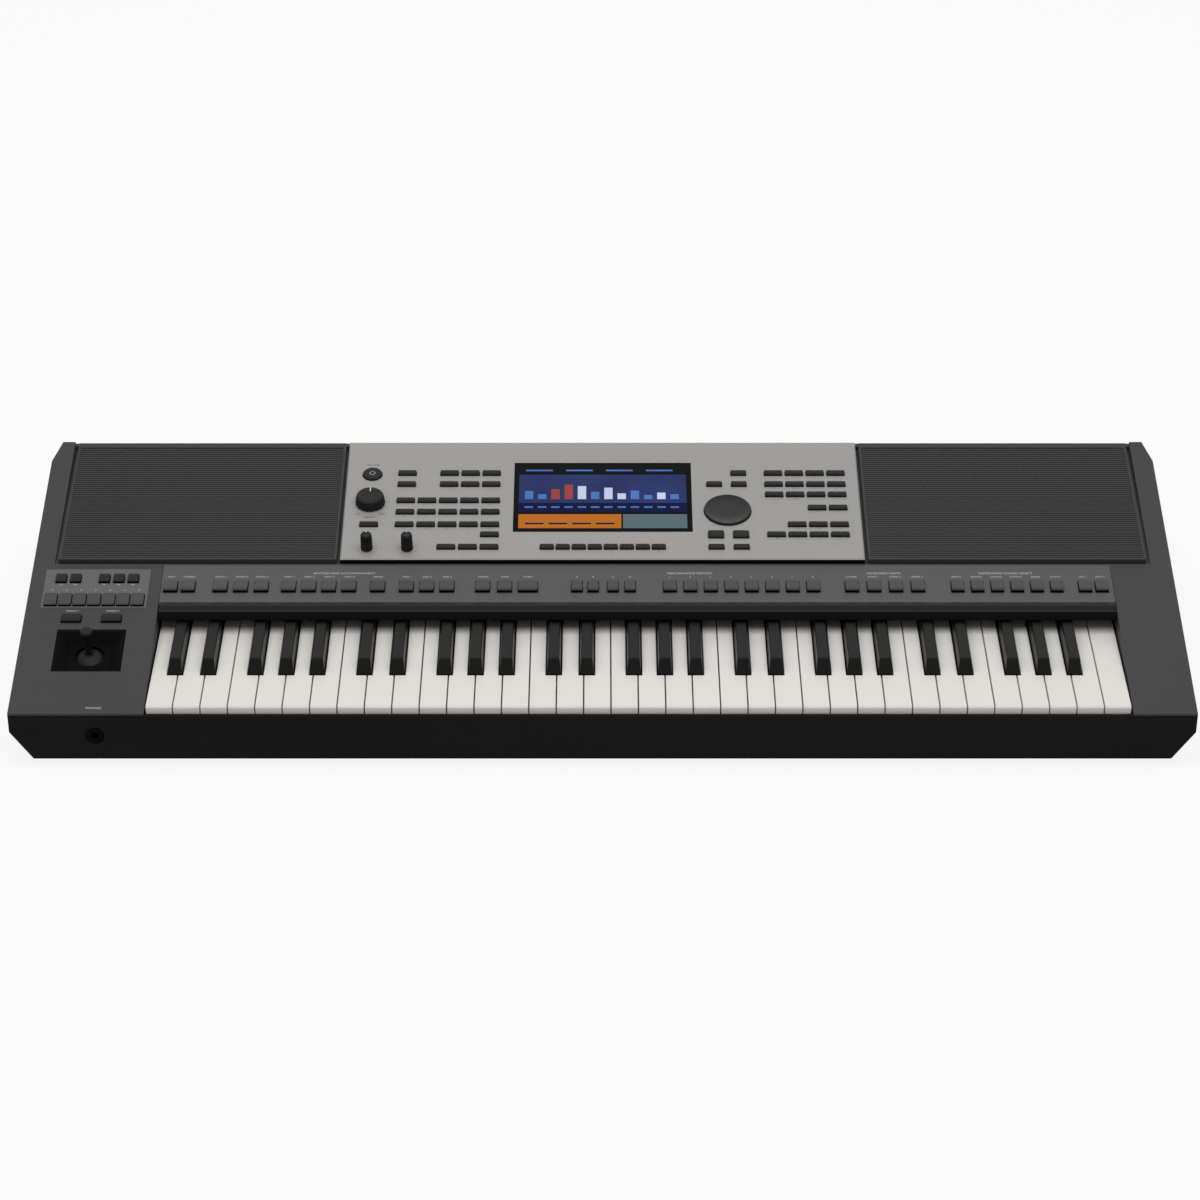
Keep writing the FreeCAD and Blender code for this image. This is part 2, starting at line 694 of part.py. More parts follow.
def strip_cap(x, distance, width, length):
    """Tall cap whose top falls to the rear and whose front face leans back."""
    front = distance - length / 2
    rear = distance + length / 2
    points = [
        (front, STRIP_CAP_RISE - STRIP_CAP_SLANT / 2),
        (front + STRIP_CAP_SLANT / 2, STRIP_CAP_RISE),
        (rear, STRIP_CAP_RISE - STRIP_CAP_SLANT),
        (rear, STRIP_CAP_LOW),
    ]
    return section_along_x((front, STRIP_CAP_LOW), points, x - width / 2, x + width / 2)


def cap_group(caps, maker, lay):
    return Part.makeCompound([lay(maker(*cap)) for cap in caps])


# Case


def plan_prism(inset):
    """Upright block with the case's plan outline, drawn in from its walls."""
    half = HALF_WIDTH - inset
    front = FRONT_Y + inset
    rear = REAR_Y - inset
    points = [
        (half, front),
        (half, rear - REAR_CORNER_LENGTH),
        (half - REAR_CORNER_WIDTH, rear),
        (-half + REAR_CORNER_WIDTH, rear),
        (-half, rear - REAR_CORNER_LENGTH),
    ]
    face = outline((-half, front), points, lambda x, y: vector(x, y, 0))
    return face.extrude(vector(0, 0, FAR))


def upper_block(inset):
    """Closed outer form of the upper case, drawn in by a wall all round but open at the parting line."""
    drop = inset / math.cos(DECK_RADIANS)
    bevel_angle = math.atan2(REAR_BEVEL_DROP, REAR_BEVEL_LENGTH)
    rear = REAR_Y - inset
    bevel_shift = inset / math.cos(bevel_angle) - inset * math.tan(bevel_angle)
    crest_reach = RIM_REACH - inset * math.tan((bevel_angle + DECK_RADIANS) / 2)
    points = [
        (FRONT_Y, FRONT_EDGE_HEIGHT - drop),
        (FRONT_Y + crest_reach, deck_height(crest_reach) - drop),
        (rear, deck_height(RIM_REACH) - REAR_BEVEL_DROP - bevel_shift),
        (rear, 0.0),
    ]
    block = section_along_x((FRONT_Y, 0.0), points, -HALF_WIDTH + inset, HALF_WIDTH - inset)
    above = box(-FAR, FAR, -FAR, FAR, PARTING_HEIGHT, FAR)
    return block.common(plan_prism(inset)).common(above)


def cheek_wall(x0):
    return box(x0, x0 + WALL, FRONT_Y, FRONT_Y + PANEL_REACH, PARTING_HEIGHT, FAR)


def upper_case():
    """Shell with the key opening, the well for panel and grilles, and holes for the cheek's controls."""
    outer = upper_block(0.0)
    shell = outer.cut(upper_block(WALL))
    basin = panel_slab(
        -WELL_HALF - WALL, WELL_HALF + WALL, WELL_FRONT - WALL, WELL_REAR + WALL, WELL_UNDERSIDE, PANEL_DEPTH
    )
    cheeks = [cheek_wall(OPENING_LEFT - WALL).common(outer), cheek_wall(OPENING_RIGHT).common(outer)]
    body = joined([shell, basin.common(outer)] + cheeks)
    key_space = box(
        OPENING_LEFT, OPENING_RIGHT, FRONT_Y - WALL, FRONT_Y + STRIP_REACH + STRIP_RUN + SEAT_GAP, 0.0, FAR
    )
    ledges = [
        deck_slab(
            x0, x0 + STRIP_LEDGE, STRIP_CAP_REAR + CAP_CLEARANCE, STRIP_FRONT + STRIP_LENGTH, -2 * WALL, -WALL
        )
        for x0 in (OPENING_LEFT, OPENING_RIGHT - STRIP_LEDGE)
    ]
    body = joined([body.cut(key_space)] + ledges)
    rim = 2 * WALL
    cuts = [
        panel_slab(-WELL_HALF, WELL_HALF, WELL_FRONT, WELL_REAR, -PANEL_DEPTH, FAR),
        panel_slab(-WELL_HALF, WELL_HALF, PANEL_LENGTH, FAR, REAR_LEDGE, FAR),
        panel_slab(
            PANEL_LEFT + rim, PANEL_RIGHT - rim, rim, PANEL_LENGTH - rim, 2 * WELL_UNDERSIDE, 0.0
        ),
        deck_slab(
            STICK_CENTRE - BEZEL_WIDTH / 2 - SEAT_GAP,
            STICK_CENTRE + BEZEL_WIDTH / 2 + SEAT_GAP,
            STICK_ROW - BEZEL_LENGTH / 2 - SEAT_GAP,
            STICK_ROW + BEZEL_LENGTH / 2 + SEAT_GAP,
            -2 * WALL,
            WALL,
        ),
    ]
    for place, radius in ((WOOFER_PLACE, WOOFER_HOLE_RADIUS), (TWEETER_PLACE, TWEETER_HOLE_RADIUS)):
        hole = facetted(FRAME_SIDES, radius, 2 * WELL_UNDERSIDE, 0.0)
        cuts.extend(on_panel(moved(hole, x, SPEAKER_ROW, 0.0)) for x in (-place, place))
    cuts.extend(on_deck(hole) for hole in cap_holes(SCALE_CAPS, 2 * WALL))
    return less(body, cuts)


def lower_section(inset):
    """Block with the lower case's XZ outline and its chamfered lower corners."""
    half = HALF_WIDTH - inset
    low = FOOT_HEIGHT + inset
    slope = math.atan2(SIDE_CHAMFER_HEIGHT, SIDE_CHAMFER_WIDTH)
    foot = HALF_WIDTH - SIDE_CHAMFER_WIDTH - inset * math.tan(slope / 2)
    knee = FOOT_HEIGHT + SIDE_CHAMFER_HEIGHT + inset * math.tan(math.pi / 4 - slope / 2)
    points = [(foot, low), (half, knee), (half, FAR), (-half, FAR), (-half, knee)]
    return section_along_y((-foot, low), points, FRONT_Y - WALL, REAR_Y + WALL)


def socket_x(place):
    return BAY_LEFT + BAY_MARGIN + SOCKET_PITCH * (place + 0.5)


def rear_socket_hole(kind, x):
    """Hole for a socket's nose through the floor of the bay."""
    width, height = SOCKET_NOSES[kind]
    half_x = width / 2 + SEAT_GAP
    half_z = height / 2 + SEAT_GAP
    return box(x - half_x, x + half_x, BAY_FLOOR_Y - 2 * WALL, REAR_Y, JACK_ROW - half_z, JACK_ROW + half_z)


def board_posts(span):
    for x in (span[0] + POST_INSET, span[1] - POST_INSET):
        for y in (BOARD_FRONT + POST_INSET, BOARD_REAR - POST_INSET):
            yield post(x, y, FLOOR_TOP, BOARD_HEIGHT)


def lower_case():
    """Tray with chamfered sides, a recessed socket bay at the rear and posts for the boards."""
    below = box(-FAR, FAR, -FAR, FAR, 0.0, PARTING_HEIGHT)
    outer = lower_section(0.0).common(plan_prism(0.0)).common(below)
    bay = box(BAY_LEFT, BAY_RIGHT, BAY_FLOOR_Y, REAR_Y + WALL, BAY_LOW, BAY_HIGH)
    bay_wall = box(
        BAY_LEFT - WALL, BAY_RIGHT + WALL, BAY_FLOOR_Y - WALL, REAR_Y + WALL, BAY_LOW - WALL, BAY_HIGH + WALL
    )
    room = lower_section(WALL).common(plan_prism(WALL)).cut(bay_wall)
    posts = [block for span in BOARD_SPANS for block in board_posts(span)]
    body = joined([outer.cut(room)] + posts)
    phones_hole = Part.makeCylinder(
        PHONES_NOSE_RADIUS + SEAT_GAP, 3 * WALL, vector(PHONES_X, FRONT_Y - WALL, JACK_ROW), vector(0, 1, 0)
    )
    sockets = [rear_socket_hole(kind, socket_x(i)) for i, kind in enumerate(SOCKETS)]
    return less(body, [bay, phones_hole] + sockets)


def rubber_feet():
    foot = stacked(
        [
            round_ring([FOOT_RADIUS - FOOT_TAPER] * FOOT_SIDES, 0.0),
            round_ring([FOOT_RADIUS] * FOOT_SIDES, FOOT_HEIGHT),
        ]
    )
    feet = []
    for x in (-HALF_WIDTH + FOOT_INSET_X, HALF_WIDTH - FOOT_INSET_X):
        for y in (FRONT_Y + FOOT_INSET_Y, REAR_Y - FOOT_INSET_Y):
            feet.append(moved(foot, x, y, 0.0))
    return Part.makeCompound(feet)


def button_strip():
    """Plate between keys and panel: an upright rear edge, a hole for every cap, posts for the board."""
    rear = STRIP_FRONT + STRIP_LENGTH
    steps = [(STRIP_FRONT, 0.0), (rear, 0.0), (rear - WALL * math.tan(DECK_RADIANS), -WALL)]
    plate = section_along_x(
        (STRIP_FRONT, -WALL), steps, OPENING_LEFT + SEAT_GAP, OPENING_RIGHT - SEAT_GAP
    )
    first_post = OPENING_LEFT + 2 * STRIP_LEDGE
    post_pitch = (OPENING_WIDTH - 4 * STRIP_LEDGE) / (STRIP_POST_COUNT - 1)
    posts = [
        post(first_post + i * post_pitch, rear - STRIP_POST_INSET, -STRIP_BOARD_DEPTH, -WALL)
        for i in range(STRIP_POST_COUNT)
    ]
    caps = RHYTHM_CAPS + MEMORY_CAPS + PART_CAPS
    return on_deck(less(joined([plate] + posts), cap_holes(caps, 2 * WALL)))


def switch_boards():
    """Boards under the strip's caps and under the cheek's caps."""
    low = -STRIP_BOARD_DEPTH - BOARD_THICKNESS
    strip_board = box(
        OPENING_LEFT + STRIP_LEDGE + WALL,
        OPENING_RIGHT - STRIP_LEDGE - WALL,
        STRIP_FRONT + STRIP_CAP_ROW,
        STRIP_FRONT + STRIP_LENGTH - WALL,
        low,
        -STRIP_BOARD_DEPTH,
    )
    left = CHEEK_BLOCK_CENTRE - CHEEK_BLOCK_HALF
    right = CHEEK_BLOCK_CENTRE + CHEEK_BLOCK_HALF
    cheek_board = box(
        left, right, OCTAVE_ROW - OCTAVE_CAP_LENGTH, SHARP_ROW + SHARP_CAP_LENGTH, low, -STRIP_BOARD_DEPTH
    )
    between = (OCTAVE_ROW + OCTAVE_CAP_LENGTH / 2 + SCALE_ROW - SCALE_CAP_LENGTH / 2) / 2
    posts = [post(x, between, -STRIP_BOARD_DEPTH, -WALL) for x in (left + POST_INSET, right - POST_INSET)]
    return Part.makeCompound([on_deck(strip_board), on_deck(joined([cheek_board] + posts))])


def nameboard():
    """Rounded black nose that closes the gap between the strip and the keys."""
    top_y = FRONT_Y + STRIP_REACH
    top_z = STRIP_HEIGHT
    under_z = top_z - WALL / math.cos(DECK_RADIANS)
    front_y = top_y - NOSE_RUN
    low_z = top_z - NOSE_HEIGHT
    middle = (front_y + NOSE_RUN / 4, low_z + NOSE_HEIGHT * NOSE_FULLNESS)
    inner_middle = (middle[0] + NOSE_THICKNESS, middle[1] - NOSE_THICKNESS)
    rise = NOSE_FLANGE * math.tan(DECK_RADIANS)
    points = [
        (middle, (top_y, top_z)),
        (top_y, under_z),
        (top_y + NOSE_FLANGE, under_z + rise),
        (top_y + NOSE_FLANGE, under_z + rise - NOSE_THICKNESS),
        (top_y, under_z - NOSE_THICKNESS),
        (inner_middle, (front_y + NOSE_THICKNESS, low_z)),
    ]
    return section_along_x((front_y, low_z), points, OPENING_LEFT + SEAT_GAP, OPENING_RIGHT - SEAT_GAP)


# Control panel


POT_PLACES = (
    (KNOB_COLUMN, VOLUME_ROW),
    (KNOB_COLUMN, ROW_LIVE),
    (KNOB_COLUMN + LIVE_KNOB_SPACING, ROW_LIVE),
    (DIAL_CENTRE, DIAL_ROW),
)


def control_panel():
    """Tray with chamfered edges and a rear flange, cut for display, caps, knobs and dial."""
    plate = box(PANEL_LEFT, PANEL_RIGHT, 0.0, PANEL_LENGTH, -PANEL_DEPTH, 0.0)
    edges = [edge for edge in plate.Edges if edge.BoundBox.ZMin > -PANEL_EDGE_CHAMFER]
    plate = plate.makeChamfer(PANEL_EDGE_CHAMFER, edges)
    hollow = box(
        PANEL_LEFT + PANEL_PLATE,
        PANEL_RIGHT - PANEL_PLATE,
        PANEL_PLATE,
        PANEL_LENGTH - PANEL_PLATE,
        -2 * PANEL_DEPTH,
        -PANEL_PLATE,
    )
    post_rows = ((ROW_1 + ROW_2) / 2, PANEL_LENGTH - PANEL_BOARD_INSET - 2 * POST_HALF)
    posts = [
        post(x, y, -PANEL_BOARD_DEPTH, -PANEL_PLATE)
        for x in (LEFT_FIRST, DISPLAY_LEFT - DISPLAY_SIDE_GAP / 2, DISPLAY_RIGHT + DIAL_GAP / 2, RIGHT_FIRST)
        for y in post_rows
    ]
    flange = box(
        PANEL_LEFT,
        PANEL_RIGHT,
        PANEL_LENGTH - PANEL_PLATE,
        PANEL_LENGTH + REAR_FLANGE,
        REAR_LEDGE,
        -PANEL_EDGE_CHAMFER,
    )
    body = joined([plate.cut(hollow), flange] + posts)
    depth = 2 * PANEL_PLATE
    cuts = cap_holes(STYLE_CAPS + FUNCTION_CAPS + SCREEN_ROW + NAVIGATION_CAPS + VOICE_CAPS, depth)
    cuts.append(
        box(
            DISPLAY_LEFT - SEAT_GAP,
            DISPLAY_RIGHT + SEAT_GAP,
            DISPLAY_FRONT - SEAT_GAP,
            DISPLAY_REAR + SEAT_GAP,
            -depth,
            depth,
        )
    )
    shaft_hole = pin_hole(SHAFT_RADIUS, CAP_CLEARANCE, -depth, depth)
    cuts.extend(moved(shaft_hole, x, y, 0.0) for x, y in POT_PLACES[:3])
    cuts.append(disc(DIAL_RADIUS + CAP_CLEARANCE, -depth, depth, DIAL_CENTRE, DIAL_ROW))
    cuts.append(disc(POWER_RADIUS + CAP_CLEARANCE, -depth, depth, KNOB_COLUMN, POWER_ROW))
    return on_panel(less(body, cuts))


def display_glass():
    return panel_slab(DISPLAY_LEFT, DISPLAY_RIGHT, DISPLAY_FRONT, DISPLAY_REAR, -PANEL_PLATE, 0.0)


def display_module():
    return panel_slab(
        DISPLAY_LEFT - DISPLAY_BORDER,
        DISPLAY_RIGHT + DISPLAY_BORDER,
        DISPLAY_FRONT - DISPLAY_BORDER,
        DISPLAY_REAR + DISPLAY_BORDER,
        -PANEL_PLATE - DISPLAY_MODULE_DEPTH,
        -PANEL_PLATE,
    )


def panel_board():
    return panel_slab(
        PANEL_LEFT + PANEL_BOARD_INSET,
        PANEL_RIGHT - PANEL_BOARD_INSET,
        PANEL_BOARD_INSET,
        PANEL_LENGTH - PANEL_BOARD_INSET,
        -PANEL_BOARD_DEPTH - BOARD_THICKNESS,
        -PANEL_BOARD_DEPTH,
    )


def potentiometers():
    """Bodies on the panel board, each with a bearing for one knob's shaft."""
    half = POT_WIDTH / 2
    low = -PANEL_BOARD_DEPTH
    body = box(-half, half, -half, half, low, low + POT_HEIGHT)
    pot = body.cut(pin_hole(SHAFT_RADIUS, SHAFT_FIT, SHAFT_LOW, 0.0))
    return Part.makeCompound([on_panel(moved(pot, x, y, 0.0)) for x, y in POT_PLACES])


def knob_ring(radius, flutes, scale, z):
    return round_ring([radius * scale, (radius - FLUTE_DEPTH) * scale] * flutes, z)


def panel_knob(place, radius, height, flutes):
    """Fluted, tapered knob with a bevelled crown and a pointer groove, on its shaft."""
    top = KNOB_LIFT + height
    neck = 1 - KNOB_TAPER
    head = stacked(
        [
            knob_ring(radius, flutes, 1.0, KNOB_LIFT),
            knob_ring(radius, flutes, neck, top - KNOB_CROWN),
            knob_ring(radius, flutes, neck - KNOB_CROWN / radius, top),
        ]
    )
    pointer = box(-POINTER_WIDTH / 2, POINTER_WIDTH / 2, radius / 2, 2 * radius, top - KNOB_CROWN / 2, FAR)
    shaft = disc(SHAFT_RADIUS, SHAFT_LOW + SEAT_GAP, KNOB_LIFT)
    x, y = POT_PLACES[place]
    return on_panel(moved(joined([head.cut(pointer), shaft]), x, y, 0.0))


def data_dial():
    """Flat wheel with a finely faceted rim, sunk in the panel, on the encoder's shaft."""
    wheel = stacked(
        [
            round_ring([DIAL_RADIUS] * DIAL_FACETS, -PANEL_PLATE),
            round_ring([DIAL_RADIUS] * DIAL_FACETS, DIAL_RISE - DIAL_EDGE),
            round_ring([DIAL_RADIUS - DIAL_EDGE] * DIAL_FACETS, DIAL_RISE),
        ]
    )
    shaft = pin(SHAFT_RADIUS, SHAFT_LOW + SEAT_GAP, -PANEL_PLATE)
    return on_panel(moved(joined([wheel, shaft]), DIAL_CENTRE, DIAL_ROW, 0.0))


def power_button():
    """Round cap with a bevelled edge."""
    cap = stacked(
        [
            round_ring([POWER_RADIUS] * POWER_FACETS, CAP_LOW),
            round_ring([POWER_RADIUS] * POWER_FACETS, POWER_RISE - POWER_EDGE),
            round_ring([POWER_RADIUS - POWER_EDGE] * POWER_FACETS, POWER_RISE),
        ]
    )
    return on_panel(moved(cap, KNOB_COLUMN, POWER_ROW, 0.0))


# Grilles and loudspeakers


def grille(side):
    """Pressed tray with rows of slots, skirts down to the well floor and a flange over the rear rim."""
    x0, x1 = sorted((side * GRILLE_INNER, side * GRILLE_OUTER))
    front = GRILLE_FRONT_INSET
    rear = PANEL_LENGTH
    top = -GRILLE_DROP
    tray = box(x0, x1, front, rear, -PANEL_DEPTH, top)
    hollow = box(
        x0 + GRILLE_PLATE,
        x1 - GRILLE_PLATE,
        front + GRILLE_PLATE,
        rear - GRILLE_PLATE,
        -2 * PANEL_DEPTH,
        top - GRILLE_PLATE,
    )
    pitch = (rear - front - 2 * GRILLE_MARGIN) / GRILLE_ROW_COUNT
    slots = []
    for row in range(GRILLE_ROW_COUNT):
        low = front + GRILLE_MARGIN + (row + 0.5) * pitch - GRILLE_SLOT / 2
        slots.append(box(x0 + GRILLE_MARGIN, x1 - GRILLE_MARGIN, low, low + GRILLE_SLOT, -PANEL_DEPTH, 0.0))
    flange = box(x0, x1, rear - GRILLE_PLATE, rear + REAR_FLANGE, REAR_LEDGE, top)
    return on_panel(less(joined([tray, flange]), [hollow] + slots))


def loudspeaker(radius, hole, depth, magnet, magnet_length, cap):
    """Eight-sided frame and basket with a round magnet and a hollow cone, hung below a face at zero."""
    waist = -depth + magnet_length
    frame = facetted(FRAME_SIDES, radius, -SPEAKER_FLANGE, 0.0)
    basket = stacked(
        [round_ring([magnet] * FRAME_SIDES, waist), round_ring([hole] * FRAME_SIDES, -SPEAKER_FLANGE)]
    )
    magnet_ring = facetted(CONE_SIDES, magnet, -depth, waist)
    body = joined([frame, basket, magnet_ring])
    mouth = hole * math.cos(math.pi / FRAME_SIDES) - CONE_WALL
    hollow = stacked(
        [round_ring([cap] * CONE_SIDES, waist + CONE_WALL), round_ring([mouth] * CONE_SIDES, 0.0)]
    )
    return body.cut(hollow)


def speaker_pair(speaker, place):
    pair = [on_panel(moved(speaker, x, SPEAKER_ROW, WELL_UNDERSIDE)) for x in (-place, place)]
    return Part.makeCompound(pair)


def woofers():
    speaker = loudspeaker(
        WOOFER_RADIUS,
        WOOFER_HOLE_RADIUS,
        WOOFER_DEPTH,
        WOOFER_MAGNET_RADIUS,
        WOOFER_MAGNET_LENGTH,
        WOOFER_CAP_RADIUS,
    )
    return speaker_pair(speaker, WOOFER_PLACE)


def tweeters():
    speaker = loudspeaker(
        TWEETER_RADIUS,
        TWEETER_HOLE_RADIUS,
        TWEETER_DEPTH,
        TWEETER_MAGNET_RADIUS,
        TWEETER_MAGNET_LENGTH,
        TWEETER_CAP_RADIUS,
    )
    return speaker_pair(speaker, TWEETER_PLACE)


# Boards on the floor


def floor_board(span):
    return box(span[0], span[1], BOARD_FRONT, BOARD_REAR, BOARD_HEIGHT, BOARD_TOP)


def main_board():
    span = BOARD_SPANS[0]
    pitch = (span[1] - span[0]) / CHIP_COUNT
    low = (BOARD_FRONT + BOARD_REAR - CHIP_SIZE) / 2
    chips = []
    for i in range(CHIP_COUNT):
        left = span[0] + (i + 0.5) * pitch - CHIP_SIZE / 2
        chips.append(box(left, left + CHIP_SIZE, low, low + CHIP_SIZE, BOARD_TOP, BOARD_TOP + CHIP_HEIGHT))
    return joined([floor_board(span)] + chips)


def power_board():
    """Supply and amplifier board under a finned heat sink."""
    span = BOARD_SPANS[1]
    left = span[0] + SINK_INSET
    right = span[1] - SINK_INSET
    front = BOARD_FRONT + SINK_MARGIN
    rear = BOARD_REAR - SINK_MARGIN
    base_top = BOARD_TOP + CHIP_HEIGHT
    base = box(left, right, front, rear, BOARD_TOP, base_top)
    pitch = (right - left - SINK_FIN) / (SINK_FIN_COUNT - 1)
    fins = []
    for i in range(SINK_FIN_COUNT):
        x = left + i * pitch
        fins.append(box(x, x + SINK_FIN, front, rear, base_top, BOARD_TOP + SINK_HEIGHT))
    return joined([floor_board(span), base] + fins)


# Keys


def key_y(reach):
    return KEY_FRONT_Y + reach


def black_centre(octave, white, shift):
    return KEYS_LEFT + (octave * OCTAVE + white + 1) * KEY_PITCH + shift


BLACK_CENTRES = [
    black_centre(octave, white, shift) for octave in range(OCTAVES) for white, shift in BLACK_CLASSES.values()
]


def white_span(index):
    left = KEYS_LEFT + index * KEY_PITCH + KEY_GAP / 2
    return left, left + KEY_PITCH - KEY_GAP


def tail_span(index):
    """What the black keys beside it leave of a white key's width."""
    left, right = white_span(index)
    half = BLACK_BASE_WIDTH / 2 + BLACK_SIDE_GAP
    lefts = [centre + half for centre in BLACK_CENTRES if centre - half < left < centre + half]
    rights = [centre - half for centre in BLACK_CENTRES if centre - half < right < centre + half]
    return max([left] + lefts), min([right] + rights)


def key_underside():
    """Flat underside of a key from its rear end forwards, with the notch that rides on the pivot rod."""
    apex = PIVOT_Z + (PIVOT_RADIUS + PIVOT_FIT) * math.sqrt(2)
    notch_half = apex - KEY_BOTTOM
    return [
        (key_y(KEY_REAR), KEY_BOTTOM),
        (PIVOT_Y + notch_half, KEY_BOTTOM),
        (PIVOT_Y, apex),
        (PIVOT_Y - notch_half, KEY_BOTTOM),
    ]


def white_key(index):
    """Key with a bevelled front edge, a deep front block and cut-outs for its black neighbours."""
    top = KEY_TOP_HEIGHT
    front_low = top - KEY_FRONT_THICKNESS
    notch_y = key_y(BLACK_START - BLACK_SIDE_GAP)
    steps = [
        (key_y(0.0), top - KEY_EDGE),
        (key_y(KEY_EDGE), top),
        (key_y(KEY_REAR), top),
        *key_underside(),
        (notch_y, KEY_BOTTOM),
        (notch_y, front_low),
    ]
    left, right = white_span(index)
    tail_left, tail_right = tail_span(index)
    body = section_along_x((key_y(0.0), front_low), steps, left, right)
    if tail_left > left:
        body = body.cut(box(left - KEY_GAP, tail_left, notch_y, FAR, 0.0, FAR))
    if tail_right < right:
        body = body.cut(box(tail_right, right + KEY_GAP, notch_y, FAR, 0.0, FAR))
    return body


def black_key(centre):
    """Raised cap with leaning sides and front, on a straight body."""
    half = BLACK_BASE_WIDTH / 2
    half_top = BLACK_TOP_WIDTH / 2
    top = KEY_TOP_HEIGHT
    front = key_y(BLACK_START)
    rear = key_y(KEY_SHOULDER)
    steps = [(front, top), (key_y(KEY_REAR), top)] + key_underside()
    body = section_along_x((front, KEY_BOTTOM), steps, centre - half, centre + half)
    cap = stacked(
        [
            rectangle_ring(centre - half, centre + half, front, rear, top),
            rectangle_ring(
                centre - half_top, centre + half_top, front + BLACK_FRONT_SLANT, rear, top + BLACK_RISE
            ),
        ]
    )
    return joined([body, cap])


def white_group(white):
    return Part.makeCompound([white_key(octave * OCTAVE + white) for octave in range(OCTAVES)])


def black_group(white, shift):
    return Part.makeCompound([black_key(black_centre(octave, white, shift)) for octave in range(OCTAVES)])


# Key mechanism, on one moulded frame across the case


def pressed_height(reach):
    """Height of a key's underside at a reach when it is held fully down."""
    return KEY_BOTTOM - (PIVOT_REACH - reach) * KEY_DIP


FRONT_FELT_TOP = pressed_height(FRONT_BENCH[0]) + KEY_THICKNESS - KEY_FRONT_THICKNESS - FELT_GAP
MIDDLE_FELT_TOP = pressed_height(MIDDLE_BENCH[0]) - FELT_GAP
RUBBER_TOP = pressed_height(CONTACT_BENCH[0]) - FELT_GAP
CONTACT_BENCH_TOP = RUBBER_TOP - RUBBER_RISE - BOARD_THICKNESS
SPRING_BENCH_TOP = pressed_height(SPRING_BENCH[0]) - SPRING_DROP


def across_frame(y0, y1, z0, z1):
    """Bar or sheet between the end plates of the key frame."""
    return box(OPENING_LEFT, OPENING_RIGHT, y0, y1, z0, z1)


def frame_channel(bench, top):
    """Upturned channel: a bench on two legs."""
    y0 = key_y(bench[0])
    y1 = key_y(bench[1])
    outer = box(FRAME_LEFT, FRAME_RIGHT, y0, y1, FLOOR_TOP, top)
    inner = box(
        FRAME_LEFT - WALL,
        FRAME_RIGHT + WALL,
        y0 + FRAME_SHEET,
        y1 - FRAME_SHEET,
        FLOOR_TOP + FRAME_SHEET,
        top - FRAME_SHEET,
    )
    return outer.cut(inner)


def end_plate(x):
    top = KEY_TOP_HEIGHT + STOP_GAP + STOP_RAIL_LEG / 2
    return box(x, x + FRAME_PLATE, key_y(STOP_RAIL_REACH), key_y(PIVOT_BENCH[0]), FLOOR_TOP, top)


def key_frame():
    """Moulded frame: a bench for each rail, a groove for the pivot rod and end plates for the stop rail."""
    front = key_y(FRONT_BENCH[0])
    rear = key_y(PIVOT_BENCH[1])
    base = box(FRAME_LEFT, FRAME_RIGHT, front, rear, FLOOR_TOP, FLOOR_TOP + FRAME_SHEET)
    benches = [
        frame_channel(FRONT_BENCH, FRONT_FELT_TOP - FELT_THICKNESS),
        frame_channel(MIDDLE_BENCH, MIDDLE_FELT_TOP - FELT_THICKNESS),
        frame_channel(CONTACT_BENCH, CONTACT_BENCH_TOP),
        frame_channel(SPRING_BENCH, SPRING_BENCH_TOP),
        frame_channel(PIVOT_BENCH, PIVOT_Z),
    ]
    plates = [end_plate(FRAME_LEFT), end_plate(FRAME_RIGHT - FRAME_PLATE)]
    saddle = Part.makeCylinder(
        PIVOT_RADIUS + PIVOT_FIT, 2 * FAR, vector(-FAR, PIVOT_Y, PIVOT_Z), vector(1, 0, 0)
    )
    return joined([base] + benches + plates).cut(saddle)


def key_pivot_rod():
    return Part.makeCylinder(
        PIVOT_RADIUS, FRAME_RIGHT - FRAME_LEFT, vector(FRAME_LEFT, PIVOT_Y, PIVOT_Z), vector(1, 0, 0)
    )


def felt(bench, top):
    return across_frame(key_y(bench[0]), key_y(bench[1]), top - FELT_THICKNESS, top)


def key_stop_felts():
    return Part.makeCompound([felt(FRONT_BENCH, FRONT_FELT_TOP), felt(MIDDLE_BENCH, MIDDLE_FELT_TOP)])


def key_stop_rail():
    """Angle above the tails that the keys spring up against."""
    low = KEY_TOP_HEIGHT + STOP_GAP
    y0 = key_y(STOP_RAIL_REACH)
    flat = across_frame(y0, y0 + STOP_RAIL_LEG, low, low + STOP_RAIL_SHEET)
    upright = across_frame(y0, y0 + STOP_RAIL_SHEET, low, low + STOP_RAIL_LEG / 2)
    return joined([flat, upright])


def key_contact_board():
    low = CONTACT_BENCH_TOP
    return across_frame(key_y(CONTACT_BENCH[0]), key_y(CONTACT_BENCH[1]), low, low + BOARD_THICKNESS)


def key_contact_rubber():
    """Ridged contact strip under all the keys, drawn at its pressed height."""
    low = CONTACT_BENCH_TOP + BOARD_THICKNESS
    front = key_y(CONTACT_BENCH[0] + RUBBER_MARGIN)
    rear = key_y(CONTACT_BENCH[1] - RUBBER_MARGIN)
    steps = [
        (front, low + RUBBER_BASE),
        (front + RUBBER_SLOPE, low + RUBBER_BASE),
        (front + 2 * RUBBER_SLOPE, RUBBER_TOP),
        (rear - 2 * RUBBER_SLOPE, RUBBER_TOP),
        (rear - RUBBER_SLOPE, low + RUBBER_BASE),
        (rear, low + RUBBER_BASE),
        (rear, low),
    ]
    return section_along_x((front, low), steps, OPENING_LEFT, OPENING_RIGHT)


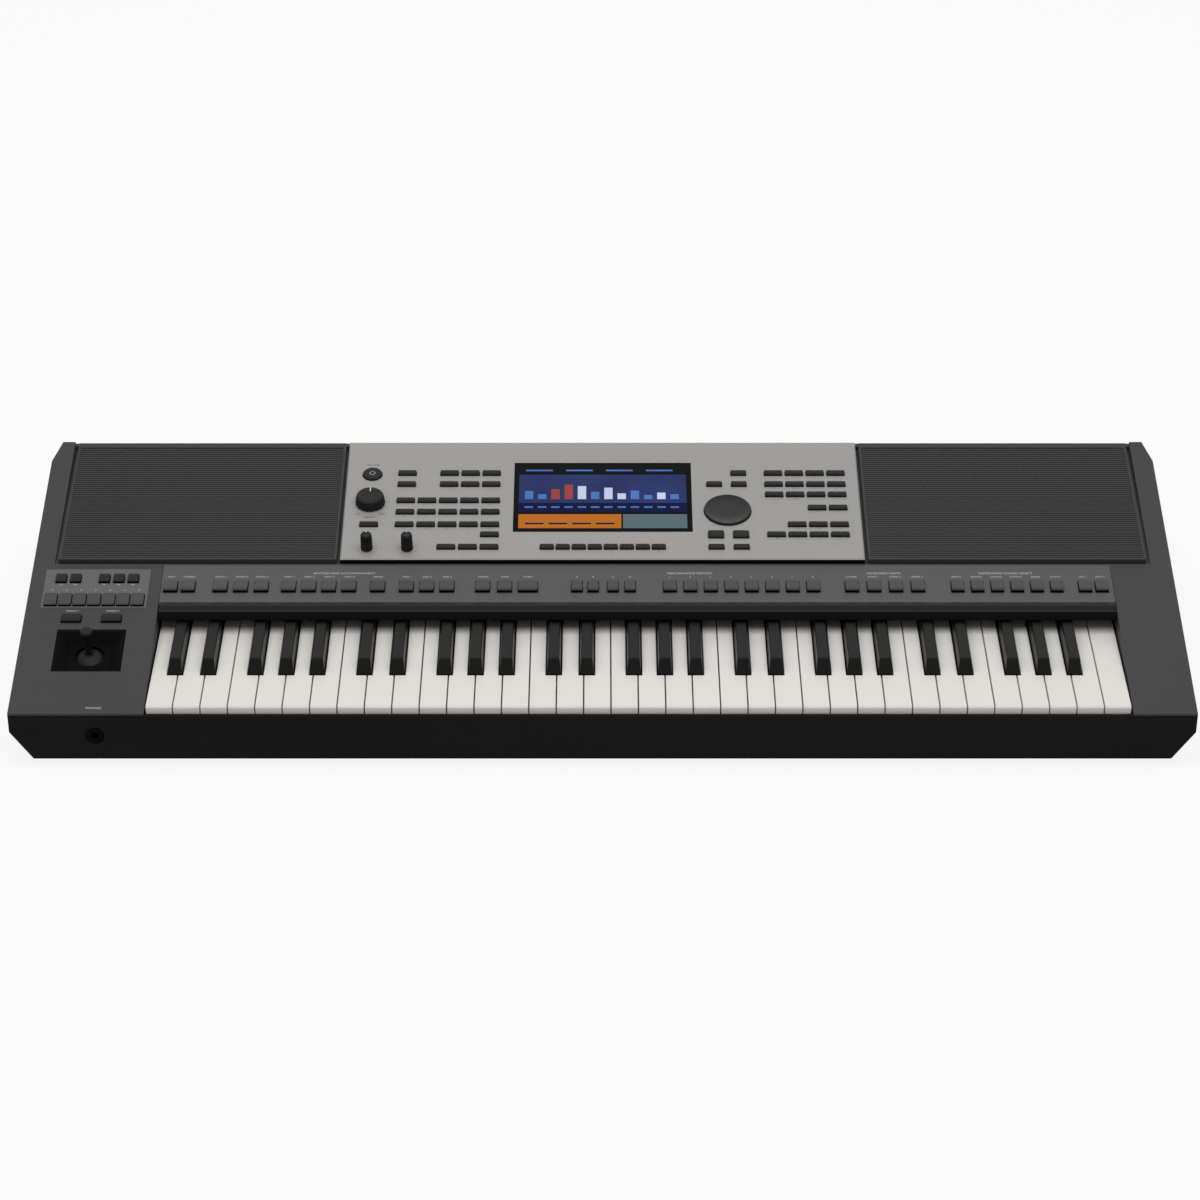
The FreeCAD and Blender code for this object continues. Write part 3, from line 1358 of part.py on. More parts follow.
def key_spring_comb():
    """Spring sheet with one tapered finger under each key's tail, drawn as it is when pressed."""
    low = SPRING_BENCH_TOP
    front = key_y(SPRING_BENCH[0])
    root = key_y(SPRING_BENCH[1])
    tip = key_y(SPRING_TIP)
    tip_height = pressed_height(SPRING_TIP) - FELT_GAP
    steps = [
        (root, low),
        (tip, tip_height - SPRING_SHEET),
        (tip, tip_height),
        (root, low + SPRING_SHEET),
        (front, low + SPRING_SHEET),
    ]
    sheet = section_along_x((front, low), steps, OPENING_LEFT, OPENING_RIGHT)
    tails = sorted(BLACK_CENTRES + [sum(tail_span(index)) / 2 for index in range(WHITE_KEYS)])
    teeth = [(OPENING_LEFT, root)]
    for centre, following in zip(tails, tails[1:] + [2 * OPENING_RIGHT - tails[-1]]):
        teeth.append((centre, tip))
        teeth.append(((centre + following) / 2, root))
    plan = outline((OPENING_LEFT, front), teeth + [(OPENING_RIGHT, front)], lambda x, y: vector(x, y, 0))
    return sheet.common(plan.extrude(vector(0, 0, FAR)))


# Joystick


def joystick_bezel():
    """Frame with a dished square recess and the round hole that the lever passes through."""
    x0 = STICK_CENTRE - BEZEL_WIDTH / 2
    x1 = STICK_CENTRE + BEZEL_WIDTH / 2
    y0 = STICK_ROW - BEZEL_LENGTH / 2
    y1 = STICK_ROW + BEZEL_LENGTH / 2
    rim = BEZEL_FLANGE
    body = box(x0, x1, y0, y1, -BEZEL_DEPTH, 0.0)
    flange = box(x0 - rim, x1 + rim, y0 - rim, y1 + rim, -2 * WALL, -WALL)
    dish = stacked(
        [
            rectangle_ring(
                STICK_CENTRE - DISH_FLOOR_WIDTH / 2,
                STICK_CENTRE + DISH_FLOOR_WIDTH / 2,
                STICK_ROW - DISH_FLOOR_LENGTH / 2,
                STICK_ROW + DISH_FLOOR_LENGTH / 2,
                -DISH_DEPTH,
            ),
            rectangle_ring(x0 + DISH_MARGIN, x1 - DISH_MARGIN, y0 + DISH_MARGIN, y1 - DISH_MARGIN, 0.0),
        ]
    )
    hole = facetted(STICK_SIDES, STICK_HOLE_RADIUS, -2 * BEZEL_DEPTH, 0.0)
    return on_deck(joined([body, flange]).cut(dish).cut(moved(hole, STICK_CENTRE, STICK_ROW, 0.0)))


def at_stick(shape):
    """Shape drawn about the joystick's pivot, with Z along the upright lever."""
    return on_deck(moved(shape, STICK_CENTRE, STICK_ROW, -STICK_PIVOT_DEPTH))


def along_x(shape):
    return shape.rotate(vector(0, 0, 0), vector(0, 1, 0), FULL_TURN / 4)


def along_y(shape):
    return shape.rotate(vector(0, 0, 0), vector(1, 0, 0), FULL_TURN / 4)


def joystick_housing():
    """Open-topped box below the bezel, with the two bearings of the gimbal."""
    outer = HOUSING_INNER + HOUSING_WALL
    top = STICK_PIVOT_DEPTH - BEZEL_DEPTH
    low = top - HOUSING_DEPTH
    shell = box(-outer, outer, -outer, outer, low, top)
    room = box(-HOUSING_INNER, HOUSING_INNER, -HOUSING_INNER, HOUSING_INNER, low + HOUSING_WALL, FAR)
    bearing = along_x(pin_hole(GIMBAL_PIN_RADIUS, PIVOT_FIT, -2 * outer, 2 * outer))
    return at_stick(shell.cut(room).cut(bearing))


def joystick_gimbal():
    """Square ring on two stub pins across the case, with bores for the lever's own pin."""
    half = GIMBAL_THICKNESS / 2
    inner = GIMBAL_HALF - GIMBAL_WALL
    block = box(-GIMBAL_HALF, GIMBAL_HALF, -GIMBAL_HALF, GIMBAL_HALF, -half, half)
    opening = box(-inner, inner, -inner, inner, -FAR, FAR)
    reach = HOUSING_INNER + HOUSING_WALL
    pins = along_x(pin(GIMBAL_PIN_RADIUS, -reach, reach))
    bore = along_y(pin_hole(GIMBAL_PIN_RADIUS, PIVOT_FIT, -reach, reach))
    return at_stick(joined([block, pins]).cut(opening).cut(bore))


def dome_point(angle):
    return (DOME_RADIUS * math.sin(math.radians(angle)), DOME_RADIUS * math.cos(math.radians(angle)))


def joystick_lever():
    """Slim stick with a thumb cap, a domed skirt that hides the hole, and a cross pin in the gimbal."""
    top = STICK_PIVOT_DEPTH + STICK_RISE
    skirt_low = dome_point(DOME_ANGLE)[1]
    profile = [
        dome_point(DOME_ANGLE),
        dome_point(DOME_ANGLE / 2),
        (STICK_ROOT_RADIUS, DOME_RADIUS),
        (STICK_RADIUS, top - THUMB_THICKNESS - THUMB_FLARE),
        (THUMB_RADIUS, top - THUMB_THICKNESS),
        (THUMB_RADIUS, top - THUMB_EDGE),
        (THUMB_RADIUS - THUMB_EDGE, top),
    ]
    stick = stacked([round_ring([radius] * STICK_SIDES, z) for radius, z in profile])
    stem = box(-STEM_HALF, STEM_HALF, -STEM_HALF, STEM_HALF, -GIMBAL_THICKNESS, skirt_low)
    cross_pin = along_y(pin(GIMBAL_PIN_RADIUS, -GIMBAL_HALF, GIMBAL_HALF))
    return at_stick(joined([stick, stem, cross_pin]))


# Sockets, drawn along Z out of the case with the face of their wall at zero


def faced(shape, x, y, turn):
    """Socket turned to leave the case at the front or the rear."""
    copy = shape.copy()
    tilt = FreeCAD.Rotation(vector(1, 0, 0), turn)
    copy.Placement = FreeCAD.Placement(vector(x, y, JACK_ROW), tilt).multiply(copy.Placement)
    return copy


def phones_jack():
    half = PHONES_BODY_WIDTH / 2
    nose = facetted(PHONES_NOSE_SIDES, PHONES_NOSE_RADIUS, -WALL, 0.0)
    body = box(-half, half, -half, half, -WALL - JACK_BODY_LENGTH, -WALL)
    jack = joined([nose, body]).cut(disc(JACK_BORE_RADIUS, -JACK_BORE_LENGTH, WALL))
    return faced(jack, PHONES_X, FRONT_Y, FULL_TURN / 4)


def socket_block(kind, body_length):
    """Square-nosed block: the nose fills its hole, the wider body bears on the wall's inner face."""
    width, height = SOCKET_NOSES[kind]
    rim = SOCKET_FLANGE
    nose = box(-width / 2, width / 2, -height / 2, height / 2, -WALL, SOCKET_PROUD)
    body = box(
        -width / 2 - rim, width / 2 + rim, -height / 2 - rim, height / 2 + rim, -WALL - body_length, -WALL
    )
    return joined([nose, body])


def rear_sockets(kind, socket):
    places = [i for i, name in enumerate(SOCKETS) if name == kind]
    return [faced(socket, socket_x(i), BAY_FLOOR_Y, -FULL_TURN / 4) for i in places]


def bored_sockets(kind, body_length, radius, depth):
    bore = disc(radius, SOCKET_PROUD - depth, WALL)
    return Part.makeCompound(rear_sockets(kind, socket_block(kind, body_length).cut(bore)))


def flat_sockets():
    sockets = []
    for kind, wall in (("flat", FLAT_WALL), ("square", SQUARE_WALL)):
        half_x = SOCKET_NOSES[kind][0] / 2 - wall
        half_y = SOCKET_NOSES[kind][1] / 2 - wall
        mouth = box(-half_x, half_x, -half_y, half_y, SOCKET_PROUD - FLAT_DEPTH, WALL)
        sockets.extend(rear_sockets(kind, socket_block(kind, FLAT_BODY).cut(mouth)))
    return Part.makeCompound(sockets)


PIECES = {
    "lower_case": lower_case,
    "upper_case": upper_case,
    "button_strip": button_strip,
    "nameboard": nameboard,
    "control_panel": control_panel,
    "left_grille": lambda: grille(-1),
    "right_grille": lambda: grille(1),
    "woofers": woofers,
    "tweeters": tweeters,
    "display_glass": display_glass,
    "display_module": display_module,
    "panel_board": panel_board,
    "potentiometers": potentiometers,
    "switch_boards": switch_boards,
    "main_board": main_board,
    "power_board": power_board,
    "key_frame": key_frame,
    "key_pivot_rod": key_pivot_rod,
    "key_stop_felts": key_stop_felts,
    "key_stop_rail": key_stop_rail,
    "key_contact_board": key_contact_board,
    "key_contact_rubber": key_contact_rubber,
    "key_spring_comb": key_spring_comb,
    "joystick_bezel": joystick_bezel,
    "joystick_housing": joystick_housing,
    "joystick_gimbal": joystick_gimbal,
    "joystick_lever": joystick_lever,
    "phones_jack": phones_jack,
    "rear_jacks": lambda: bored_sockets("jack", JACK_BODY_LENGTH, JACK_BORE_RADIUS, JACK_BORE_LENGTH),
    "round_sockets": lambda: bored_sockets("round", ROUND_BODY, ROUND_SOCKET_RADIUS, ROUND_SOCKET_DEPTH),
    "power_inlet": lambda: bored_sockets("inlet", INLET_BODY, INLET_RADIUS, INLET_DEPTH),
    "flat_sockets": flat_sockets,
    "rubber_feet": rubber_feet,
    "volume_knob": lambda: panel_knob(0, VOLUME_RADIUS, VOLUME_HEIGHT, VOLUME_FLUTES),
    "live_knob_left": lambda: panel_knob(1, LIVE_RADIUS, LIVE_HEIGHT, LIVE_FLUTES),
    "live_knob_right": lambda: panel_knob(2, LIVE_RADIUS, LIVE_HEIGHT, LIVE_FLUTES),
    "data_dial": data_dial,
    "power_button": power_button,
    "style_buttons": lambda: cap_group(STYLE_CAPS, slim_cap, on_panel),
    "function_buttons": lambda: cap_group(FUNCTION_CAPS, slim_cap, on_panel),
    "screen_buttons": lambda: cap_group(SCREEN_ROW, slim_cap, on_panel),
    "navigation_buttons": lambda: cap_group(NAVIGATION_CAPS, slim_cap, on_panel),
    "voice_buttons": lambda: cap_group(VOICE_CAPS, slim_cap, on_panel),
    "rhythm_buttons": lambda: cap_group(RHYTHM_CAPS, strip_cap, on_deck),
    "memory_buttons": lambda: cap_group(MEMORY_CAPS, strip_cap, on_deck),
    "part_buttons": lambda: cap_group(PART_CAPS, strip_cap, on_deck),
    "scale_buttons": lambda: cap_group(SCALE_CAPS, slim_cap, on_deck),
    "key_high_c": lambda: white_key(WHITE_KEYS - 1),
}
for place, name in enumerate(WHITE_CLASSES):
    PIECES["keys_" + name] = lambda white=place: white_group(white)
for name, (white, shift) in BLACK_CLASSES.items():
    PIECES["keys_" + name] = lambda white=white, shift=shift: black_group(white, shift)

os.makedirs("parts", exist_ok=True)
for name, make in PIECES.items():
    make().exportStep("parts/" + name + ".step")
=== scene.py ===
import json
import math
from functools import cache

import bmesh
import bpy
from bpy.props import FloatProperty, FloatVectorProperty, IntProperty, PointerProperty
from mathutils import Matrix, Vector


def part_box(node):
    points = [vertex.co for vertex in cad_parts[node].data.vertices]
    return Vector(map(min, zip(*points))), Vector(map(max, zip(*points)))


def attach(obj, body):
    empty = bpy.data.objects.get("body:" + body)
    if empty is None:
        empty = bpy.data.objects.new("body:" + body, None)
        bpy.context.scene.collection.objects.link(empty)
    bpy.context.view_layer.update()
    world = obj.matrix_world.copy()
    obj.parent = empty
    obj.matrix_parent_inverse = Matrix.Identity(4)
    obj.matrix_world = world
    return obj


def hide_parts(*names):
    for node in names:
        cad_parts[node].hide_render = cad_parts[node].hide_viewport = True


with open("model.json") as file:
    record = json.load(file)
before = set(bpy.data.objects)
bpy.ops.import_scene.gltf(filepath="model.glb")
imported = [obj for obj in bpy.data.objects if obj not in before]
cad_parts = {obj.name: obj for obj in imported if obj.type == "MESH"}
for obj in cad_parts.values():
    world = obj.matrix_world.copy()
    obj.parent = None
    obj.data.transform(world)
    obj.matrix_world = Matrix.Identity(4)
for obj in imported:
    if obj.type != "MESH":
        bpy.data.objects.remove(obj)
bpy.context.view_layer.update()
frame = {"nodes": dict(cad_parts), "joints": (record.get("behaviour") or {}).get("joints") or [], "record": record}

bl_info = {
    "name": "Arranger Keyboard",
    "version": (1, 0, 0),
    "blender": (4, 5, 0),
    "location": "View3D > Sidebar > Arranger Keyboard",
    "description": "Finished pieces, materials and stage for an arranger keyboard",
    "category": "Object",
}

NODES = frame["nodes"]
RECORD = frame["record"]
SLOT_OF = {part["node"]: part["material_slot"] for part in RECORD["subparts"]}
BODY_OF = {node: body for body, nodes in RECORD["behaviour"]["bodies"].items() for node in nodes}
JOINTS = {joint["name"]: joint for joint in frame["joints"]}
MM = 0.001
# degrees past which an edge stays crisp, is rounded, or is one between parts of a flat face
CRISP = 35.0
ROUNDED = 28.0
FLAT = 0.5
# distances under which corners are one, in new forms and in CAD meshes
SAME_CORNER = 1e-7
SAME_CAD_CORNER = 2e-6
# thickness and lift of printed words, in millimetres
PRINT_THICKNESS = 0.04
PRINT_LIFT = 0.05

WHITE_KEYS = [node for node, slot in SLOT_OF.items() if slot == "key_white"]
BLACK_KEYS = [node for node, slot in SLOT_OF.items() if slot == "key_black"]
PANEL_CAPS = ("style_buttons", "function_buttons", "screen_buttons", "navigation_buttons", "voice_buttons")
STRIP_CAPS = ("rhythm_buttons", "memory_buttons", "part_buttons", "scale_buttons")


def mouths(word):
    """Mouths of the sockets whose mounts have this word in their name."""
    return [Vector(mount["pos_m"]) for mount in RECORD["mounts"] if word in mount["name"]]


# Planes of the deck and of the control panel


class Plane:
    """A sloping face of the case: x to the right, v backwards along the face, w out of it, in millimetres."""

    def __init__(self, origin, normal):
        self.origin = Vector(origin)
        self.normal = Vector(normal).normalized()
        self.along = Vector((0.0, self.normal.z, -self.normal.y))

    def at(self, x, v, w=0.0):
        return self.origin + Vector((x * MM, 0.0, 0.0)) + self.along * (v * MM) + self.normal * (w * MM)

    def flat(self, point):
        """A point of the model as (x, v, w) on this plane."""
        offset = Vector(point) - self.origin
        return offset.x / MM, offset.dot(self.along) / MM, offset.dot(self.normal) / MM

    def slope(self):
        return math.atan2(-self.normal.y, self.normal.z)

    def matrix(self, x=0.0, v=0.0, w=0.0):
        return Matrix.Translation(self.at(x, v, w)) @ Matrix.Rotation(self.slope(), 4, "X")


DIAL_ROW = 68.4
DIAL_RADIUS = 21.5
STICK_ROW = 79.764
STICK_PIVOT_DEPTH = 21.5
SOCKET_PROUD = 0.5
DIAL_POINT = Vector(JOINTS["data_dial_turn"]["pos_m"])
PANEL = Plane((0.0, 0.0, 0.0), JOINTS["data_dial_turn"]["axis"])
PANEL.origin = Vector((0.0, DIAL_POINT.y, DIAL_POINT.z)) - PANEL.along * (DIAL_ROW * MM)
STICK_POINT = Vector(JOINTS["joystick_sway"]["pos_m"])
STICK_AXIS = Vector(JOINTS["joystick_sway"]["axis"])
DECK = Plane((0.0, 0.0, 0.0), (0.0, -STICK_AXIS.z, STICK_AXIS.y))
DECK.origin = (
    Vector((0.0, STICK_POINT.y, STICK_POINT.z))
    + DECK.normal * (STICK_PIVOT_DEPTH * MM)
    - DECK.along * (STICK_ROW * MM)
)


# Sizes and colours that a user may change


def length_prop(label, note, value):
    return FloatProperty(name=label, description=note, default=value, unit="LENGTH")


def colour_prop(label, note, *value):
    return FloatVectorProperty(name=label, description=note, default=value, subtype="COLOR")


class ArrangerSizes(bpy.types.PropertyGroup):
    """Edge radii and repeats of the finished pieces."""

    case_edge: length_prop("Case edge", "Rounding of the case mouldings", 0.0011)
    plate_edge: length_prop("Plate edge", "Rounding of strip, nose, bezel and display pane", 0.00045)
    white_edge: length_prop("White key edge", "Rounding of the white keys", 0.0007)
    black_edge: length_prop("Black key edge", "Rounding of the black keys", 0.0011)
    cap_edge: length_prop("Cap edge", "Rounding of the button caps", 0.0004)
    slat_pitch: length_prop("Slat pitch", "Distance between grille slats", 0.003)
    slat_width: length_prop("Slat width", "Width of a grille slat", 0.0024)
    dial_grooves: IntProperty(
        name="Dial grooves", description="Turned grooves over the radius of the data dial", default=22
    )


class ArrangerColours(bpy.types.PropertyGroup):
    """Linear colours of the mouldings."""

    case_grey: colour_prop("Case grey", "Upper case", 0.049, 0.049, 0.0494)
    strip_grey: colour_prop("Strip grey", "Button strip", 0.098, 0.097, 0.099)
    cap_grey: colour_prop("Strip cap grey", "Caps on strip and cheek", 0.058, 0.058, 0.059)
    case_black: colour_prop("Case black", "Lower case", 0.0085, 0.0085, 0.0088)
    panel_silver: colour_prop("Panel silver", "Control panel", 0.358, 0.35, 0.339)
    grille_grey: colour_prop("Grille grey", "Speaker grilles", 0.046, 0.046, 0.046)
    key_white: colour_prop("Key white", "White keys", 0.83, 0.805, 0.765)
    key_black: colour_prop("Key black", "Black keys", 0.0036, 0.0034, 0.003)
    cap_dark: colour_prop("Panel cap", "Slim caps on the panel", 0.013, 0.013, 0.0135)
    knob_dark: colour_prop("Knob", "Knobs, dial and joystick", 0.0095, 0.0095, 0.0098)


def sizes():
    return bpy.context.scene.arranger_sizes


# Nodes shared by materials, stage and geometry trees


def tuned(thing, **settings):
    """The thing itself, with its settings made."""
    for label, value in settings.items():
        setattr(thing, label, value)
    return thing


def feed(tree, socket, value):
    """Set an input to a value, or link it where the value is a socket."""
    if isinstance(value, bpy.types.NodeSocket):
        tree.links.new(value, socket)
    else:
        socket.default_value = value


def add_node(tree, kind, *values, settings=None, **inputs):
    """New node with its inputs given in order or by name; returns its outputs."""
    node = tuned(tree.nodes.new(kind), **(settings or {}))
    for socket, value in zip(node.inputs, values):
        feed(tree, socket, value)
    for label, value in inputs.items():
        feed(tree, node.inputs[label.replace("_", " ")], value)
    return node.outputs


def arithmetic(tree, operation, *values, clamp=False):
    """Result of a maths node on values or sockets."""
    settings = {"operation": operation, "use_clamp": clamp}
    return add_node(tree, "ShaderNodeMath", *values, settings=settings)[0]


def ranged(tree, factor, low, high, start=0.0, end=1.0):
    """Value that goes from low to high while the factor goes from start to end."""
    return add_node(tree, "ShaderNodeMapRange", factor, start, end, low, high)["Result"]


def object_place(tree):
    return add_node(tree, "ShaderNodeTexCoord")["Object"]


# Shader groups and materials


def shader_group(name, inputs, outputs):
    """New group with named inputs and outputs; returns it and its inputs as sockets to link from."""
    tree = bpy.data.node_groups.new(name, "ShaderNodeTree")
    for label, value in inputs.items():
        socket = tree.interface.new_socket(label, in_out="INPUT", socket_type="NodeSocketFloat")
        socket.default_value = value
    for label in outputs:
        tree.interface.new_socket(label, in_out="OUTPUT", socket_type="NodeSocketFloat")
    return tree, add_node(tree, "NodeGroupInput")


def noise(tree, place, scale, detail, roughness):
    inputs = {"Vector": place, "Scale": scale, "Detail": detail, "Roughness": roughness}
    return add_node(tree, "ShaderNodeTexNoise", **inputs)["Fac"]


def moulded_grain_group():
    """Fine grain of a textured mould as Height, and slow cloudy change over the moulding as Cloud."""
    scales = {"Grain Scale": 1800.0, "Cloud Scale": 7.0}
    tree, given = shader_group("moulded grain", scales, ("Height", "Cloud"))
    place = object_place(tree)
    grain = noise(tree, place, given["Grain Scale"], 2.0, 0.6)
    cloud = noise(tree, place, given["Cloud Scale"], 4.0, 0.55)
    add_node(tree, "NodeGroupOutput", Height=grain, Cloud=cloud)


def handling_group():
    """Faint marks left by hands and dusting: streaks across the instrument as Mask."""
    tree, given = shader_group("handling marks", {"Mark Scale": 30.0, "Contrast": 2.2}, ("Mask",))
    stretch = add_node(tree, "ShaderNodeMapping", Vector=object_place(tree), Scale=(0.45, 1.6, 1.0))
    marks = noise(tree, stretch["Vector"], given["Mark Scale"], 5.0, 0.62)
    add_node(tree, "NodeGroupOutput", Mask=arithmetic(tree, "POWER", marks, given["Contrast"]))


def flake_group():
    """Glint of metallic paint: tiny cells of differing tone as Flake."""
    tree, given = shader_group("metallic flake", {"Flake Scale": 1400.0}, ("Flake",))
    cells = add_node(tree, "ShaderNodeTexVoronoi", Vector=object_place(tree), Scale=given["Flake Scale"])
    tone = add_node(tree, "ShaderNodeSeparateColor", Color=cells["Color"])
    add_node(tree, "NodeGroupOutput", Flake=tone["Red"])


FINISHES = {}


def shade(colour, factor):
    return tuple(min(1.0, channel * factor) for channel in colour)


class Finish:
    """One material in the making: a Principled shader and short ways to drive it."""

    def __init__(self, name):
        material = FINISHES[name] = bpy.data.materials.new(name)
        material.use_nodes = True
        self.tree = material.node_tree
        self.shader = self.tree.nodes["Principled BSDF"]

    def set(self, **values):
        for label, value in values.items():
            feed(self.tree, self.shader.inputs[label.replace("_", " ")], value)

    def group(self, name, **values):
        settings = {"node_tree": bpy.data.node_groups[name]}
        return add_node(self.tree, "ShaderNodeGroup", settings=settings, **values)

    def mix(self, factor, low, high):
        node = tuned(self.tree.nodes.new("ShaderNodeMix"), data_type="RGBA")
        for place, value in ((0, factor), (6, low), (7, high)):
            feed(self.tree, node.inputs[place], value)
        return node.outputs[2]

    def blend(self, factor, colour, low, high):
        """The colour from a low to a high multiple of itself."""
        return self.mix(factor, (*shade(colour, low), 1.0), (*shade(colour, high), 1.0))

    def gloss(self, factor, low, high):
        """Roughness from low to high over the middle half of the factor."""
        self.set(Roughness=ranged(self.tree, factor, low, high, 0.25, 0.75))

    def bump(self, height, strength, distance):
        bump = add_node(self.tree, "ShaderNodeBump", Height=height, Strength=strength, Distance=distance)
        self.set(Normal=bump["Normal"])


def moulding(name, colour, roughness, grain=1800.0, depth=0.25, change=0.06, marks=0.05, coat=0.0, shine=0.2):
    """Moulded plastic: grain in the surface, cloudy tone and faint handling marks in the gloss."""
    finish = Finish(name)
    grains = finish.group("moulded grain", Grain_Scale=grain)
    hands = finish.group("handling marks")
    finish.set(Base_Color=finish.blend(grains["Cloud"], colour, 1 - change, 1 + change))
    finish.gloss(hands["Mask"], roughness + marks, roughness - marks)
    finish.bump(grains["Height"], depth, 0.00012)
    finish.set(Coat_Weight=coat, Coat_Roughness=0.12, Specular_IOR_Level=shine)
    return finish


def printed_moulding(name, colour, roughness):
    """Upper case moulding with a paler field printed round the scale buttons."""
    finish = moulding(name, colour, roughness, 1500.0, 0.3)
    tree = finish.tree
    low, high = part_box("scale_buttons")
    side, front, rear, tone = 0.0025, 0.0195, 0.007, 2.65
    spans = {"X": (low.x - side, high.x + side), "Y": (low.y + front, high.y + rear)}
    place = add_node(tree, "ShaderNodeSeparateXYZ", Vector=object_place(tree))
    inside = [
        arithmetic(tree, "COMPARE", place[axis], (start + end) / 2, (end - start) / 2)
        for axis, (start, end) in spans.items()
    ]
    base = finish.shader.inputs["Base Color"].links[0].from_socket
    field = arithmetic(tree, "MULTIPLY", *inside)
    finish.set(Base_Color=finish.mix(field, base, (*shade(colour, tone), 1.0)))


def silver_paint(name, colour):
    finish = Finish(name)
    flakes = finish.group("metallic flake", Flake_Scale=2600.0)["Flake"]
    hands = finish.group("handling marks", Mark_Scale=18.0)
    finish.set(Base_Color=finish.blend(flakes, colour, 0.89, 1.11))
    finish.gloss(hands["Mask"], 0.46, 0.38)
    finish.bump(flakes, 0.06, 0.0001)
    finish.set(Metallic=0.15, Specular_IOR_Level=0.12)


def turned_plastic(name, colour, grooves):
    """Dial face: fine turned grooves about its own axis and a sheen that follows them."""
    finish = Finish(name)
    tree = finish.tree
    inputs = {"Vector": object_place(tree), "Location": DIAL_POINT, "Rotation": (PANEL.slope(), 0.0, 0.0)}
    centre = add_node(tree, "ShaderNodeMapping", settings={"vector_type": "TEXTURE"}, **inputs)
    settings = {"wave_type": "RINGS", "rings_direction": "Z"}
    scale = grooves / (DIAL_RADIUS * MM * 2.0 * math.pi)
    wave = add_node(tree, "ShaderNodeTexWave", settings=settings, Vector=centre["Vector"], Scale=scale)
    rings = wave["Fac"]
    finish.set(Base_Color=finish.blend(rings, colour, 0.8, 1.5))
    finish.gloss(rings, 0.2, 0.28)
    finish.bump(rings, 0.12, 0.00025)
    tangent = add_node(tree, "ShaderNodeTangent", settings={"direction_type": "RADIAL", "axis": "Z"})
    finish.set(Tangent=tangent["Tangent"], Anisotropic=0.9, Specular_IOR_Level=0.24)


def metal(name, colour, roughness, change=0.08):
    finish = Finish(name)
    grains = finish.group("moulded grain", Grain_Scale=900.0, Cloud_Scale=60.0)
    finish.gloss(grains["Height"], roughness - 0.05, roughness + 0.08)
    finish.bump(grains["Height"], 0.08, 0.0001)
    finish.set(Base_Color=finish.blend(grains["Cloud"], colour, 1 - change, 1 + change), Metallic=1.0)


def lit(name, colour, change=0.12):
    """Glowing area of the display, a little uneven as a back light is."""
    finish = Finish(name)
    grains = finish.group("moulded grain", Grain_Scale=900.0, Cloud_Scale=26.0)
    finish.set(
        Emission_Color=finish.blend(grains["Cloud"], colour, 1 - change, 1 + change),
        Base_Color=finish.blend(grains["Height"], colour, 0.1, 0.14),
        Emission_Strength=1.0,
        Roughness=0.16,
        Specular_IOR_Level=0.03,
    )


def make_finishes():
    moulded_grain_group()
    handling_group()
    flake_group()
    tone = bpy.context.scene.arranger_colours
    printed_moulding("case grey", tone.case_grey, 0.5)
    moulding("strip grey", tone.strip_grey, 0.46, 1900.0, 0.22)
    moulding("cap grey", tone.cap_grey, 0.42, 2200.0, 0.15)
    moulding("case black", tone.case_black, 0.5, 1500.0, 0.3, 0.12, shine=0.06)
    # painted shade: a darker copy of the case black, put on walls, gaps, openings and recesses where shade falls
    moulding("recess black", shade(tone.case_black, 0.4), 0.45, 1500.0, 0.2, 0.12, shine=0.02)
    moulding("nose black", shade(tone.case_black, 0.9), 0.26, 1800.0, 0.06, 0.1, shine=0.1)
    moulding("grille grey", tone.grille_grey, 0.5, 2600.0, 0.25, 0.1, shine=0.15)
    moulding("grille screen", shade(tone.grille_grey, 0.3), 0.7, 2600.0, 0.4, 0.2)
    silver_paint("panel silver", tone.panel_silver)
    moulding("key white", tone.key_white, 0.28, 700.0, 0.02, 0.015, 0.03, 0.06)
    moulding("key black", tone.key_black, 0.3, 1700.0, 0.1, 0.12, 0.05, shine=0.1)
    moulding("cap dark", tone.cap_dark, 0.38, 2200.0, 0.15, shine=0.13)
    moulding("knob dark", tone.knob_dark, 0.36, 2000.0, 0.15, 0.1, shine=0.15)
    turned_plastic("dial face", tone.knob_dark, sizes().dial_grooves)
    moulding("rubber", (0.014, 0.014, 0.014), 0.75, 1200.0, 0.4)
    moulding("socket black", (0.02, 0.02, 0.02), 0.45, 1600.0, 0.15, shine=0.12)
    metal("bright steel", (0.56, 0.56, 0.57), 0.3)
    metal("screw steel", (0.06, 0.06, 0.062), 0.38)
    metal("contact metal", (0.62, 0.47, 0.24), 0.28)
    moulding("speaker cone", (0.02, 0.02, 0.02), 0.72, 500.0, 0.5, 0.2)
    moulding("board green", (0.015, 0.1, 0.04), 0.4, 300.0, 0.4, 0.3)
    moulding("felt red", (0.22, 0.015, 0.015), 0.95, 2600.0, 1.0, 0.3)
    moulding("print white", (0.62, 0.62, 0.6), 0.5, 1500.0, 0.05)
    moulding("print dark", (0.06, 0.06, 0.062), 0.5, 1500.0, 0.05)
    moulding("print pale", (0.52, 0.52, 0.52), 0.5, 1500.0, 0.05)
    moulding("lamp window", (0.12, 0.012, 0.01), 0.22, 900.0, 0.05, 0.1, 0.04, 0.3)
    moulding("pane black", (0.003, 0.003, 0.004), 0.14, 900.0, 0.01, 0.1, 0.03, shine=0.03)
    lit("screen night", (0.002, 0.004, 0.003))
    lit("screen blue", (0.021, 0.032, 0.115), 0.5)
    lit("screen deep", (0.004, 0.005, 0.04), 0.3)
    lit("screen sky", (0.06, 0.16, 0.42), 0.3)
    lit("screen white", (0.5, 0.56, 0.72))
    lit("screen red", (0.3, 0.05, 0.045))
    lit("screen orange", (0.43, 0.13, 0.012))
    lit("screen teal", (0.085, 0.135, 0.15))


# Mesh helpers


def in_scene(name, data):
    thing = bpy.data.objects.new(name, data)
    bpy.context.scene.collection.objects.link(thing)
    return thing


